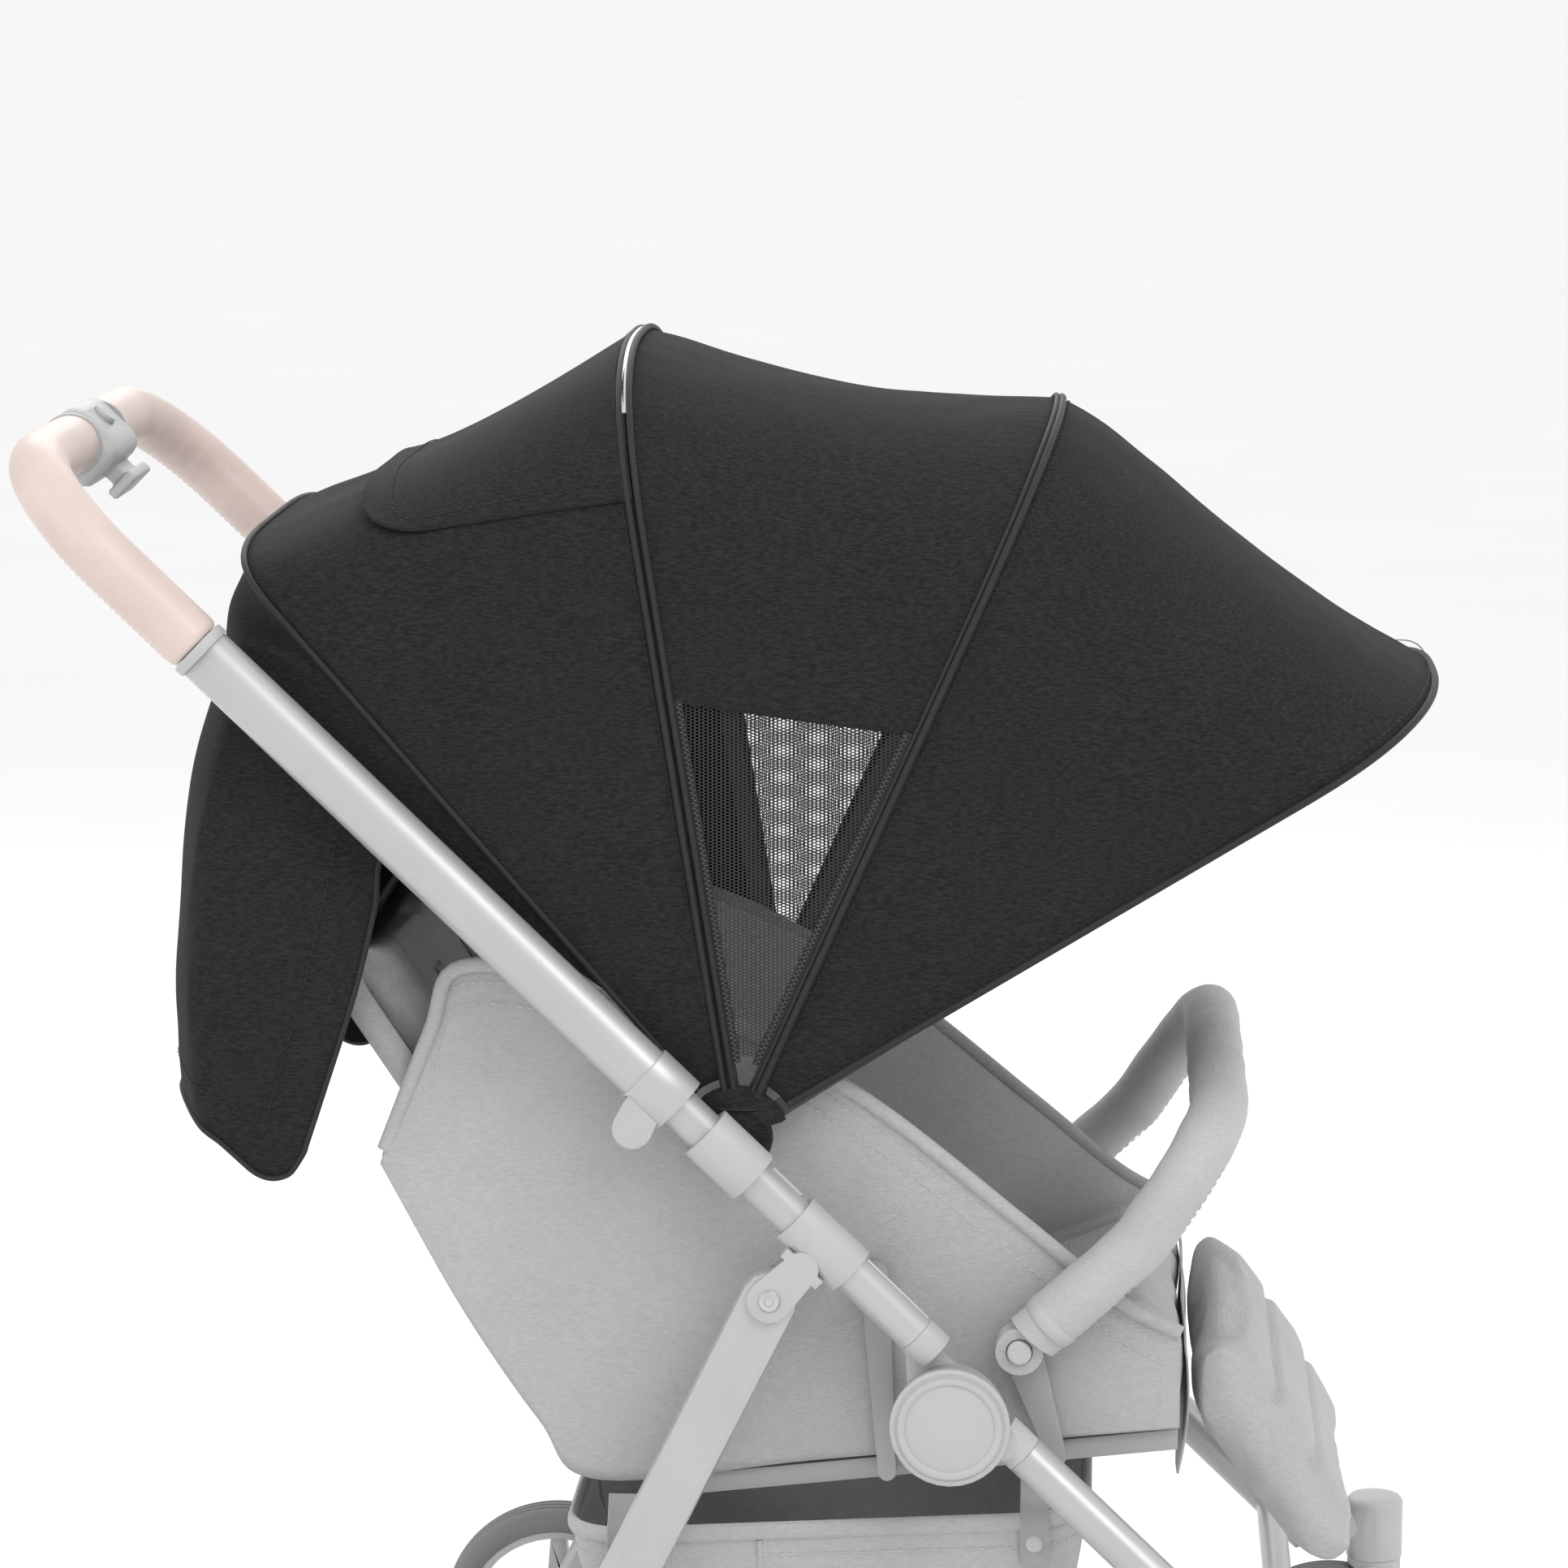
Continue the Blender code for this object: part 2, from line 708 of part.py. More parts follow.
def push_sleeve(side, sign):
    """The oval upper tube that slides over the main tube, with a thicker end collar."""
    bm = bmesh.new()
    y = sign * TUBE_Y
    path = [on_tube(SLEEVE_TOP, 0, y), on_tube(SLEEVE_BOTTOM, 0, y)]
    swept(bm, path, Y_AXIS, oval(SLEEVE_TALL, SLEEVE_WIDE, 24))
    obj = finish("push_sleeve_" + side, bm, "frame_grey")

    def collar(tool):
        ends = [on_tube(SLEEVE_BOTTOM - 0.024, 0, y), on_tube(SLEEVE_BOTTOM + 0.008, 0, y)]
        swept(tool, ends, Y_AXIS, oval(0.0215, 0.0185, 24))

    def boss(tool):
        knob = on_tube(SLEEVE_BOTTOM - 0.004, -0.030)
        stem = on_tube(SLEEVE_BOTTOM - 0.008, -0.0175)
        prism(tool, capsule_outline(stem, knob, 0.013, 0.0135), y - 0.0130, y + 0.0130)

    def bore(tool):
        start = on_tube(SLEEVE_TOP - 0.01, 0, y)
        rod(tool, start, on_tube(SLEEVE_BOTTOM + 0.03, 0, y), TUBE_RADIUS + FIT_GAP, 24)

    joined(obj, [collar, boss])
    return cut(obj, [bore])


def handle_path(start_station):
    """The U of the handle, from the right sleeve round to the left sleeve."""
    corners = [
        on_tube(start_station, 0, -TUBE_Y),
        on_tube(HANDLE_BAR_AT, 0, -TUBE_Y),
        on_tube(HANDLE_BAR_AT, 0, TUBE_Y),
        on_tube(start_station, 0, TUBE_Y),
    ]
    return rounded(corners, HANDLE_CORNER, 6)


def handle_core():
    """The bent bar under the leather, plugged into both sleeves."""
    bm = bmesh.new()
    bore = oval(TUBE_RADIUS - TUBE_WALL, TUBE_RADIUS - TUBE_WALL, 16)
    swept(bm, handle_path(SLEEVE_TOP + 0.055), ACROSS, oval(TUBE_RADIUS, TUBE_RADIUS, 16), bore)
    finish("handle_core", bm, "frame_grey")


def leather_grip(side, sign):
    """A leather sleeve on half of the handle, from the seam to the centre housing."""
    bm = bmesh.new()
    ring = oval(GRIP_RADIUS, GRIP_RADIUS, 20)
    bore = oval(TUBE_RADIUS + FIT_GAP, TUBE_RADIUS + FIT_GAP, 20)
    corners = [
        on_tube(SLEEVE_TOP - 0.0006, 0, sign * TUBE_Y),
        on_tube(HANDLE_BAR_AT, 0, sign * TUBE_Y),
        on_tube(HANDLE_BAR_AT, 0, sign * (HOUSING_HALF + 0.0006)),
    ]
    swept(bm, rounded(corners, HANDLE_CORNER, 6), ACROSS, ring, bore)
    finish("leather_grip_" + side, bm, "leather")


def handle_housing():
    """The centre housing on the handle, with pockets for the trigger and the button."""
    bm = bmesh.new()
    centre = on_tube(HANDLE_BAR_AT + 0.005, 0)
    axes = (ALONG, Y_AXIS, ACROSS)
    block(bm, centre, axes, (0.0250, HOUSING_HALF, 0.0205))
    obj = finish("handle_housing", bm, "joint_grey")
    softened(obj, 0.011, 3)

    def bore(tool):
        ends = (on_tube(HANDLE_BAR_AT, 0, -0.06), on_tube(HANDLE_BAR_AT, 0, 0.06))
        rod(tool, ends[0], ends[1], TUBE_RADIUS + FIT_GAP, 24)

    def trigger_pocket(tool):
        block(tool, on_tube(HANDLE_BAR_AT + 0.0305, 0), axes, (0.0140, 0.0206, 0.0066))

    def button_pocket(tool):
        rod(tool, on_tube(HANDLE_BAR_AT, 0.0155), on_tube(HANDLE_BAR_AT, 0.030), 0.0086, 24)

    return cut(obj, [bore, trigger_pocket, button_pocket])


def release_trigger():
    """The squeeze trigger that frees the fold; its stem runs in the housing."""
    bm = bmesh.new()
    axes = (ALONG, Y_AXIS, ACROSS)
    place = on_tube(HANDLE_BAR_AT + 0.0355, 0)
    block(bm, place, axes, (0.0120, 0.0200, 0.0060))
    obj = finish("release_trigger", bm, "joint_grey", origin=place)

    def bar(tool):
        block(tool, on_tube(HANDLE_BAR_AT + 0.0435, 0), axes, (0.0040, 0.0300, 0.0110))

    joined(obj, [bar])
    return softened(obj, 0.0015, 1)


def lock_button():
    bm = bmesh.new()
    base = on_tube(HANDLE_BAR_AT, 0.0190)
    rod(bm, base, on_tube(HANDLE_BAR_AT, 0.0232), 0.0080, 24)
    finish("lock_button", bm, "joint_grey", origin=base)


# ---------------------------------------------------------------- canopy


def bow_curve(bow, half, inset=0.0, start=0.05, side_steps=3, top_steps=14):
    """Points of a bow from the right pivot over the crown to the left pivot.

    Each side runs straight out from the pivot and then rounds over to the crown.
    """
    degrees, shoulder, crown, power = bow
    angle = math.radians(degrees)
    outward = Vector((math.cos(angle), 0.0, math.sin(angle)))
    centre = at((0, 0))
    reach = crown - inset
    rise = reach - shoulder
    points = []
    for step in range(side_steps):
        radius = start + (shoulder - start) * step / side_steps
        points.append(centre + outward * radius - Y_AXIS * half)
    for step in range(top_steps + 1):
        turn = math.pi * step / top_steps
        y = -half * math.copysign(abs(math.cos(turn)) ** (2 / power), math.cos(turn))
        radius = shoulder + rise * abs(math.sin(turn)) ** (2 / power)
        points.append(centre + outward * radius + Y_AXIS * y)
    for step in reversed(range(side_steps)):
        radius = start + (shoulder - start) * step / side_steps
        points.append(centre + outward * radius + Y_AXIS * half)
    return points


def canopy_bow(name, bow, level, inset):
    """A flat springy strip with an eye at each end that turns on the canopy pins."""
    angle = math.radians(bow[0])
    across = Vector((-math.sin(angle), 0.0, math.cos(angle)))
    path = bow_curve(bow, level, inset, start=0.013)
    bm = bmesh.new()
    half_thick = BOW_THICK / 2
    half_wide = BOW_WIDE / 2
    section = [
        (-half_thick, -half_wide),
        (half_thick, -half_wide),
        (half_thick, half_wide),
        (-half_thick, half_wide),
    ]
    swept(bm, path, across, section)
    obj = finish(name, bm, "bow_plastic", origin=at((0, 0)))
    eyes = []
    holes = []
    for sign in (-1, 1):
        near = sign * (level - half_thick)
        far = sign * (level + half_thick)
        eyes.append(lambda tool, a=near, b=far: disc(tool, at((0, 0)), 0.0155, a, b, 24))
        holes.append(lambda tool, s=sign: disc(tool, at((0, 0)), 0.0084, s * 0.19, s * 0.22, 24))
    joined(obj, eyes)
    return cut(obj, holes)


def between_bows(first, second, share, sag, skew=1.0):
    """A curve part of the way from one bow to the next, pulled in by sag."""
    place = share ** skew
    pull = sag * 4 * place * (1 - place)
    values = []
    for index in range(4):
        values.append(first[index] + (second[index] - first[index]) * share)
    values[2] -= pull
    values[1] -= pull
    return tuple(values)


def panel(name, first, second, steps, sag, skew=1.0, crown_only=False):
    """A cloth panel stretched between two bows."""
    bm = bmesh.new()
    trim = 0.45 if first[0] > second[0] else -0.45
    start_bow = (first[0] - trim, *first[1:])
    end_bow = (second[0] + trim, *second[1:])
    rows = []
    for step in range(steps + 1):
        bow = between_bows(start_bow, end_bow, step / steps, sag, skew)
        start = WINDOW_TOP if crown_only else 0.052
        curve = bow_curve(bow, CANOPY_HALF, 0.0, start, side_steps=3, top_steps=18)
        rows.append([bm.verts.new(point) for point in curve])
    for row, following in zip(rows, rows[1:]):
        for index in range(len(row) - 1):
            bm.faces.new((row[index], row[index + 1], following[index + 1], following[index]))
    centre = at((0, 0))
    bmesh.ops.recalc_face_normals(bm, faces=bm.faces)
    middle = rows[steps // 2][len(rows[0]) // 2]
    if middle.link_faces[0].normal.dot(middle.co - centre) < 0:
        bmesh.ops.reverse_faces(bm, faces=bm.faces)
    return thick_sheet(name, bm, "canopy_cloth", CLOTH)


def thick_sheet(name, bm, material, thickness):
    """Gives a sheet its thickness on the inner side."""
    mesh = bpy.data.meshes.new(name)
    bm.to_mesh(mesh)
    bm.free()
    mesh.shade_smooth()
    mesh.set_sharp_from_angle(angle=math.radians(35))
    mesh.materials.append(material_named(material))
    obj = bpy.data.objects.new(name, mesh)
    bpy.context.scene.collection.objects.link(obj)
    modifier = obj.modifiers.new("thickness", "SOLIDIFY")
    modifier.thickness = thickness
    modifier.offset = -1.0
    modifier.use_even_offset = True
    return obj


def mesh_window(side, sign):
    """The see-through triangle below the middle panel, on one side."""
    bm = bmesh.new()
    low = 0.052
    high = WINDOW_TOP - 0.0006
    corners = []
    for degrees, radius in ((98.0, low), (98.0, high), (67.0, high), (67.0, low)):
        point = at(polar((0, 0), degrees, radius))
        corners.append((point.x, point.z))
    prism(bm, corners, sign * (CANOPY_HALF - CLOTH), sign * CANOPY_HALF)
    finish("mesh_window_" + side, bm, "canopy_mesh")


def flap_row(level):
    """One row of the drop flap, from the right wing's front edge round to the left's."""
    rear, corner, front = FLAP_REAR[level], FLAP_CORNER[level], FLAP_FRONT[level]
    degrees, shoulder, crown, power = REAR_EDGE
    half_row = []
    for y in FLAP_STEPS:
        along = rear
        if level == 0:
            reach = (1 - (y / CANOPY_HALF) ** power) ** (1 / power)
            radius = shoulder + (crown - shoulder) * reach - FLAP_BELOW_EDGE
            along = polar((0, 0), degrees + FLAP_TURN, radius)
        half_row.append(at(along, y))
    rounding = [(a + b) / 2 for a, b in zip(rear, corner)]
    middle = [(a + b) / 2 for a, b in zip(corner, front)]
    half_row.append(at(rounding, FLAP_HALF - 0.006))
    for point in (corner, middle, front):
        half_row.append(at(point, FLAP_HALF))
    mirrored = [Vector((point.x, -point.y, point.z)) for point in half_row[:0:-1]]
    return mirrored + half_row


def rear_drop_flap():
    """The cloth flap that hangs from the canopy's rear edge and wraps behind the seat."""
    bm = bmesh.new()
    rows = []
    for level in range(len(FLAP_REAR)):
        rows.append([bm.verts.new(point) for point in flap_row(level)])
    for row, following in zip(rows, rows[1:]):
        for index in range(len(row) - 1):
            bm.faces.new((row[index], following[index], following[index + 1], row[index + 1]))
    bmesh.ops.recalc_face_normals(bm, faces=bm.faces)
    middle = rows[4][len(rows[4]) // 2]
    if middle.link_faces[0].normal.x > 0:
        bmesh.ops.reverse_faces(bm, faces=bm.faces)
    return thick_sheet("rear_drop_flap", bm, "canopy_cloth", CLOTH)


def canopy():
    canopy_bow("canopy_bow_rear", REAR_BOW, BOW_LEVELS[0], 0.0075)
    canopy_bow("canopy_bow_mid", MID_BOW, BOW_LEVELS[1], 0.0075)
    degrees, shoulder, crown, power = between_bows(FRONT_EDGE, MID_BOW, FRONT_BOW_SHARE, 0.0)
    front = (degrees, shoulder - FRONT_BOW_DROP, crown - FRONT_BOW_DROP, power)
    canopy_bow("canopy_bow_front", front, BOW_LEVELS[2], 0.0075)
    panel("canopy_rear_panel", REAR_EDGE, REAR_BOW, 4, REAR_SAG)
    panel("canopy_mid_panel", REAR_BOW, MID_BOW, 4, MID_SAG, crown_only=True)
    panel("canopy_front_panel", MID_BOW, FRONT_EDGE, 4, FRONT_SAG, FRONT_SKEW)
    for side, sign in SIDES:
        mesh_window(side, sign)
    rear_drop_flap()


# ---------------------------------------------------------------- seat


def world_outline(points):
    return [(PIVOT_X + x, PIVOT_Z + z) for x, z in points]


def pan_height(x, lift=0.0):
    """The seat pan's top at a forward distance from the canopy pivot."""
    return PAN_BACK[1] + (x - PAN_BACK[0]) * PAN_RISE + lift


def seat_base():
    """A moulded seat pan with side lugs to the main tubes and the bumper's mounts."""
    front = (0.296, pan_height(0.296))
    outline = [(x, z - PAN_THICK) for x, z in (PAN_BACK, front)] + [front, PAN_BACK]
    bm = bmesh.new()
    prism(bm, world_outline(outline), -SEAT_HALF - 0.010, SEAT_HALF + 0.010)
    obj = finish("seat_base", bm, "board")
    middle = -PAN_THICK / 2
    tube_lug = on_tube(0.135)
    lug_foot = at((0.100, pan_height(0.100, middle)))
    strut_foot = at((0.215, pan_height(0.215, middle)))
    lug = capsule_outline(lug_foot, tube_lug, 0.0060, 0.0100, 6)
    strut = capsule_outline(strut_foot, at(BUMPER_PIVOT), 0.0060, 0.0140, 6)

    def side_parts(sign):
        return [
            lambda tool: prism(tool, lug, sign * 0.1856, sign * 0.1900),
            lambda tool: disc(tool, tube_lug, 0.0098, sign * 0.1890, sign * 0.2157, 12),
            lambda tool: disc(tool, lug_foot, 0.0058, sign * 0.1700, sign * 0.1898, 10),
            lambda tool: prism(tool, strut, sign * 0.1860, sign * 0.1915),
            lambda tool: disc(tool, strut_foot, 0.0058, sign * 0.1700, sign * 0.1900, 10),
        ]

    return joined(obj, side_parts(-1) + side_parts(1))


def seat_cushion():
    """A flat pad on the seat pan."""
    outline = [
        (-0.030, -0.243),
        (0.270, -0.208),
        (0.304, -0.203),
        (0.304, -0.150),
        (0.296, -0.139),
        (0.262, -0.137),
        (0.205, -0.1596),
        (-0.018, -0.190),
    ]
    bm = bmesh.new()
    prism(bm, world_outline(outline), -SEAT_HALF, SEAT_HALF)
    obj = finish("seat_cushion", bm, "seat_cloth")
    return softened(obj, 0.006, 2)


def seat_side(side, sign):
    """The cloth side wall of the seat, from the pan up to the sloping top strip."""
    outline = [
        (-0.100, pan_height(-0.100, 0.002)),
        (0.298, pan_height(0.298, 0.002)),
        (0.298, -0.138),
        (0.256, -0.117),
        (0.083, 0.022),
        (-0.030, 0.085),
        (-0.190, 0.110),
        (-0.245, -0.030),
        (-0.135, -0.210),
    ]
    bm = bmesh.new()
    prism(bm, world_outline(outline), sign * 0.1790, sign * 0.1840)
    return finish("seat_side_" + side, bm, "seat_cloth")


def back_outline(start, end, behind, ahead):
    """The side view of a slab along the seat back, between two distances from its hinge."""
    normal = (BACK_ANGLE - 90.0)
    points = []
    for length, depth in ((start, -behind), (end, -behind), (end, ahead), (start, ahead)):
        along = polar(BACK_HINGE, BACK_ANGLE, length)
        points.append(polar(along, normal, depth))
    return world_outline(points)


def backrest():
    """The stiff back board with its hinge rod, the pad on it and two shoulder straps."""
    hinge = at(BACK_HINGE)
    bm = bmesh.new()
    prism(bm, back_outline(0.012, BACK_LENGTH, 0.012, -0.003), -SEAT_HALF + 0.002, SEAT_HALF - 0.002)
    obj = finish("backrest_board", bm, "board", origin=hinge)

    def hinge_rod(tool):
        rod(tool, hinge - Y_AXIS * 0.172, hinge + Y_AXIS * 0.172, 0.0070)

    def web(tool):
        outline = back_outline(0.0, 0.030, 0.0095, -0.0045)
        prism(tool, outline, -SEAT_HALF + 0.01, SEAT_HALF - 0.01)

    joined(obj, [web, hinge_rod])
    pad = bmesh.new()
    prism(pad, back_outline(0.060, BACK_LENGTH + 0.010, 0.0025, 0.0300), -SEAT_HALF, SEAT_HALF)
    softened(finish("backrest_pad", pad, "seat_cloth", origin=hinge), 0.007, 2)
    for side, sign in SIDES:
        strap = bmesh.new()
        low = sign * 0.045
        high = sign * 0.075
        prism(strap, back_outline(0.110, 0.340, -0.0310, 0.0340), low, high)
        finish("shoulder_strap_" + side, strap, "webbing", origin=hinge)


def crotch_harness():
    """The crotch strap that stands up from the cushion, with the buckle on it."""
    centre = at((0.115, -0.158))
    bm = bmesh.new()
    tall = Vector((-0.35, 0, 0.937)).normalized()
    axes = (tall.cross(Y_AXIS).normalized(), Y_AXIS, tall)
    block(bm, centre + tall * 0.010, axes, (0.0020, 0.019, 0.021))
    finish("crotch_strap", bm, "webbing")
    buckle = bmesh.new()
    block(buckle, centre + tall * 0.052, axes, (0.0090, 0.030, 0.0200))
    softened(finish("harness_buckle", buckle, "joint_grey"), 0.005, 2)


def leg_rest():
    """A thick padded flap that hangs from the front edge of the seat."""
    outline = [
        (0.3085, -0.163),
        (0.3195, -0.1525),
        (0.328, -0.1500),
        (0.3475, -0.175),
        (0.381, -0.221),
        (0.397, -0.253),
        (0.4215, -0.2985),
        (0.406, -0.312),
        (0.388, -0.309),
        (0.350, -0.262),
        (0.3085, -0.203),
    ]
    bm = bmesh.new()
    prism(bm, world_outline(outline), -0.155, 0.155)
    return softened(finish("leg_rest_pad", bm, "seat_cloth", origin=at(LEG_REST_HINGE)), 0.005, 2)


def bumper_bar():
    """A padded tube that bends across in front of the seat, with a knuckle at each end."""
    bm = bmesh.new()
    pivot = at(BUMPER_PIVOT)
    knee = at(BUMPER_KNEE)
    bend = at(BUMPER_BEND)
    normal = (bend - pivot).cross(Y_AXIS).normalized()
    start = pivot + (knee - pivot).normalized() * 0.012
    arm = [start, knee, bend]
    corners = [point - Y_AXIS * BUMPER_ARM_Y for point in arm]
    corners += [point + Y_AXIS * BUMPER_ARM_Y for point in reversed(arm)]
    ring = oval(BUMPER_RADIUS - 0.0015, BUMPER_RADIUS, 20)
    swept(bm, rounded(corners, 0.060, 6), normal, ring)
    obj = finish("bumper_bar", bm, "bumper_foam", origin=pivot)
    knuckles = []
    spaces = []
    for side, sign in SIDES:
        limits = (sign * 0.1925, sign * 0.2130)
        knuckles.append(lambda tool, lim=limits: disc(tool, pivot, 0.0160, lim[0], lim[1], 28))
        gap = (sign * 0.1800, sign * 0.1925)
        spaces.append(lambda tool, lim=gap: disc(tool, pivot, 0.0190, lim[0], lim[1], 28))
        pocket = (sign * 0.2060, sign * 0.2200)
        spaces.append(lambda tool, lim=pocket: disc(tool, pivot, 0.0090, lim[0], lim[1], 24))
    joined(obj, knuckles)
    cut(obj, spaces)
    for side, sign in SIDES:
        button = bmesh.new()
        disc(button, pivot, 0.0083, sign * 0.2100, sign * 0.2155, 24)
        place = pivot + Y_AXIS * sign * 0.2100
        finish("bumper_button_" + side, button, "joint_grey", origin=place)


def basket():
    """The cloth basket under the seat, open at the top."""
    top = [(-0.118, -0.288), (0.235, -0.268)]
    low = [(-0.085, -0.425), (0.205, -0.425)]
    half_top = 0.192
    half_low = 0.165
    bm = bmesh.new()
    rings = []
    for (back, front), half in ((top, half_top), (low, half_low)):
        ring = []
        for point, sign in ((back, -1), (front, -1), (front, 1), (back, 1)):
            ring.append(bm.verts.new(at(point, sign * half)))
        rings.append(ring)
    bridge(bm, rings[0], rings[1])
    bm.faces.new(rings[1])
    bmesh.ops.recalc_face_normals(bm, faces=bm.faces)
    floor = [face for face in bm.faces if len(set(face.verts) - set(rings[1])) == 0]
    if floor[0].normal.z > 0:
        bmesh.ops.reverse_faces(bm, faces=bm.faces)
    return thick_sheet("basket", bm, "seat_cloth", CLOTH)


# ---------------------------------------------------------------- the stroller


def build():
    clear_scene()
    for side, sign in SIDES:
        mid_tube(side, sign)
        hub_upper(side, sign)
        leg_bracket(side, sign)
        canopy_mount(side, sign)
        hub_lower(side, sign)
        front_leg(side, sign)
        caster_fork(side, sign)
        rear_leg(side, sign)
        push_sleeve(side, sign)
        leather_grip(side, sign)
        seat_side(side, sign)
    front_cross_bar()
    rear_axle()
    brake_pedal()
    wheels()
    handle_core()
    handle_housing()
    release_trigger()
    lock_button()
    canopy()
    seat_base()
    seat_cushion()
    backrest()
    crotch_harness()
    leg_rest()
    bumper_bar()
    basket()


build()
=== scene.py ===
"""The looks of a folding baby stroller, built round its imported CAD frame.

Metres. +X is the way the stroller rolls, +Z is up, and its right-hand side is at -Y.
"""

import json
import math

import bmesh
import bpy
import numpy as np
from mathutils import Matrix, Vector, noise

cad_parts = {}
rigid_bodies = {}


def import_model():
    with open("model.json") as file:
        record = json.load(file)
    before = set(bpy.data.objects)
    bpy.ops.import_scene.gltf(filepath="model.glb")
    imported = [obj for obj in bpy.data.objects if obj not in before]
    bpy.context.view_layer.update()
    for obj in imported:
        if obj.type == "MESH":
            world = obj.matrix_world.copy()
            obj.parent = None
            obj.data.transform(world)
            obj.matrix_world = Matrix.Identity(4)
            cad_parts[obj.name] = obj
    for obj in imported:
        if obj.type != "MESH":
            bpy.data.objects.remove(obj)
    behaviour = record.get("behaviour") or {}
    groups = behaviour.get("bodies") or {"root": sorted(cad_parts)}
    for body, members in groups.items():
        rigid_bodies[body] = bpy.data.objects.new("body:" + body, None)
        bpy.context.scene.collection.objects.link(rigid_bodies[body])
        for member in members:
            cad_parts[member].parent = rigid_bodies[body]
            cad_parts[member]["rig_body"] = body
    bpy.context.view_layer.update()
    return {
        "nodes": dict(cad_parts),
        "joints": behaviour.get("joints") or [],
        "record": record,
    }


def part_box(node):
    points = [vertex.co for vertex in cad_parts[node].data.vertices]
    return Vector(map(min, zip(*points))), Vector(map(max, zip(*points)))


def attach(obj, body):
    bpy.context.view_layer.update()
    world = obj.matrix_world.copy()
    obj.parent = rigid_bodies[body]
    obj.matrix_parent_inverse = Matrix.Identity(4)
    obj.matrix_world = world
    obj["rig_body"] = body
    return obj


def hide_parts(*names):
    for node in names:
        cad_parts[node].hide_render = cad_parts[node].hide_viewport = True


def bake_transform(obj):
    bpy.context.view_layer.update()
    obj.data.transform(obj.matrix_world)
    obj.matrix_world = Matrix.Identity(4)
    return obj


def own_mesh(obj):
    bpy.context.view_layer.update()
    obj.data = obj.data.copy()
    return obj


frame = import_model()

JOINTS = {joint["name"]: joint for joint in frame["joints"]}
SLOT_OF = {part["node"]: part["material_slot"] for part in frame["record"]["subparts"]}
SIDES = (("right", -1), ("left", 1))
Y_AXIS = Vector((0, 1, 0))
Z_AXIS = Vector((0, 0, 1))


def joint_place(name):
    return Vector(JOINTS[name]["pos_m"])


def hinge_line(name):
    """Where a joint's axis crosses the stroller's middle plane."""
    place = joint_place(name)
    return Vector((place.x, 0.0, place.z))


PIVOT = hinge_line("canopy_fold")
HUB = hinge_line("frame_fold")
BRACKET = hinge_line("rear_leg_fold")
BACK_HINGE = hinge_line("backrest_recline")
BUMPER_PIVOT = hinge_line("bumper_swing")

# Main tube line.
SLOPE = math.radians(44.0)
TUBE_OFFSET = (-0.006, -0.006)
TUBE_Y = 0.230
TUBE_RADIUS = 0.014
ALONG = Vector((math.cos(SLOPE), 0.0, -math.sin(SLOPE)))
ACROSS = Vector((math.sin(SLOPE), 0.0, math.cos(SLOPE)))
HANDLE_BAR_AT = -0.6435
SLEEVE_TOP = -0.4825
HANDLE_CORNER = 0.085
GRIP_RADIUS = 0.0202
HOUSING_HALF = 0.045

# Canopy curves: angle from straight ahead, shoulder radius, crown radius, roundness.
REAR_EDGE = (131.0, 0.455, 0.512, 3.6)
REAR_BOW = (99.0, 0.400, 0.522, 2.5)
MID_BOW = (66.0, 0.360, 0.514, 2.4)
FRONT_EDGE = (31.5, 0.430, 0.548, 2.6)
REAR_SAG = 0.029
MID_SAG = 0.035
FRONT_SAG = 0.029
FRONT_SKEW = 1.3
CANOPY_HALF = 0.2120
CANOPY_CLOTH = 0.0012
WINDOW_TOP = 0.300
WINDOW_LOW = 0.055
PANEL_LOW = 0.040

# Seat.
BACK_ANGLE = math.radians(124.0)
BACK_LENGTH = 0.390
WALL_Y = 0.180
BUMPER_ARM_Y = 0.203
WELD = 0.000005


# ---- places


def at(x, z, y=0.0):
    """A side-view point (forward, up) from the canopy pivot, in world space."""
    return Vector((PIVOT.x + x, y, PIVOT.z + z))


def on_tube(station, drop=0.0, y=0.0):
    """A point beside the main tube line: its station, its height over the line, its y."""
    return at(*TUBE_OFFSET, y) + ALONG * station + ACROSS * drop


def ray(degrees):
    angle = math.radians(degrees)
    return Vector((math.cos(angle), 0.0, math.sin(angle)))


BACK_UP = ray(math.degrees(BACK_ANGLE))
BACK_FRONT = ray(math.degrees(BACK_ANGLE) - 90)


# ---- curves and grids


def travelled(points):
    """The polyline as an array, and the distance along it at each of its points."""
    points = np.array([tuple(point) for point in points], float)
    steps = np.linalg.norm(np.diff(points, axis=0), axis=1)
    return points, np.concatenate([[0.0], np.cumsum(steps)])


def path_length(path):
    return float(travelled(path)[1][-1])


def resampled(points, count):
    """The polyline again, with count points at even distances."""
    points, along = travelled(points)
    places = np.linspace(0.0, along[-1], count)
    return np.stack([np.interp(places, along, points[:, axis]) for axis in range(3)], axis=1)


def heading(path, index, closed=False):
    """Unit direction of a path at one of its points."""
    last = len(path) - 1
    ahead = path[(index + 1) % len(path)] if closed else path[min(index + 1, last)]
    behind = path[index - 1] if closed else path[max(index - 1, 0)]
    return Vector(np.subtract(ahead, behind)).normalized()


def signed_power(value, power):
    return math.copysign(abs(value) ** power, value)


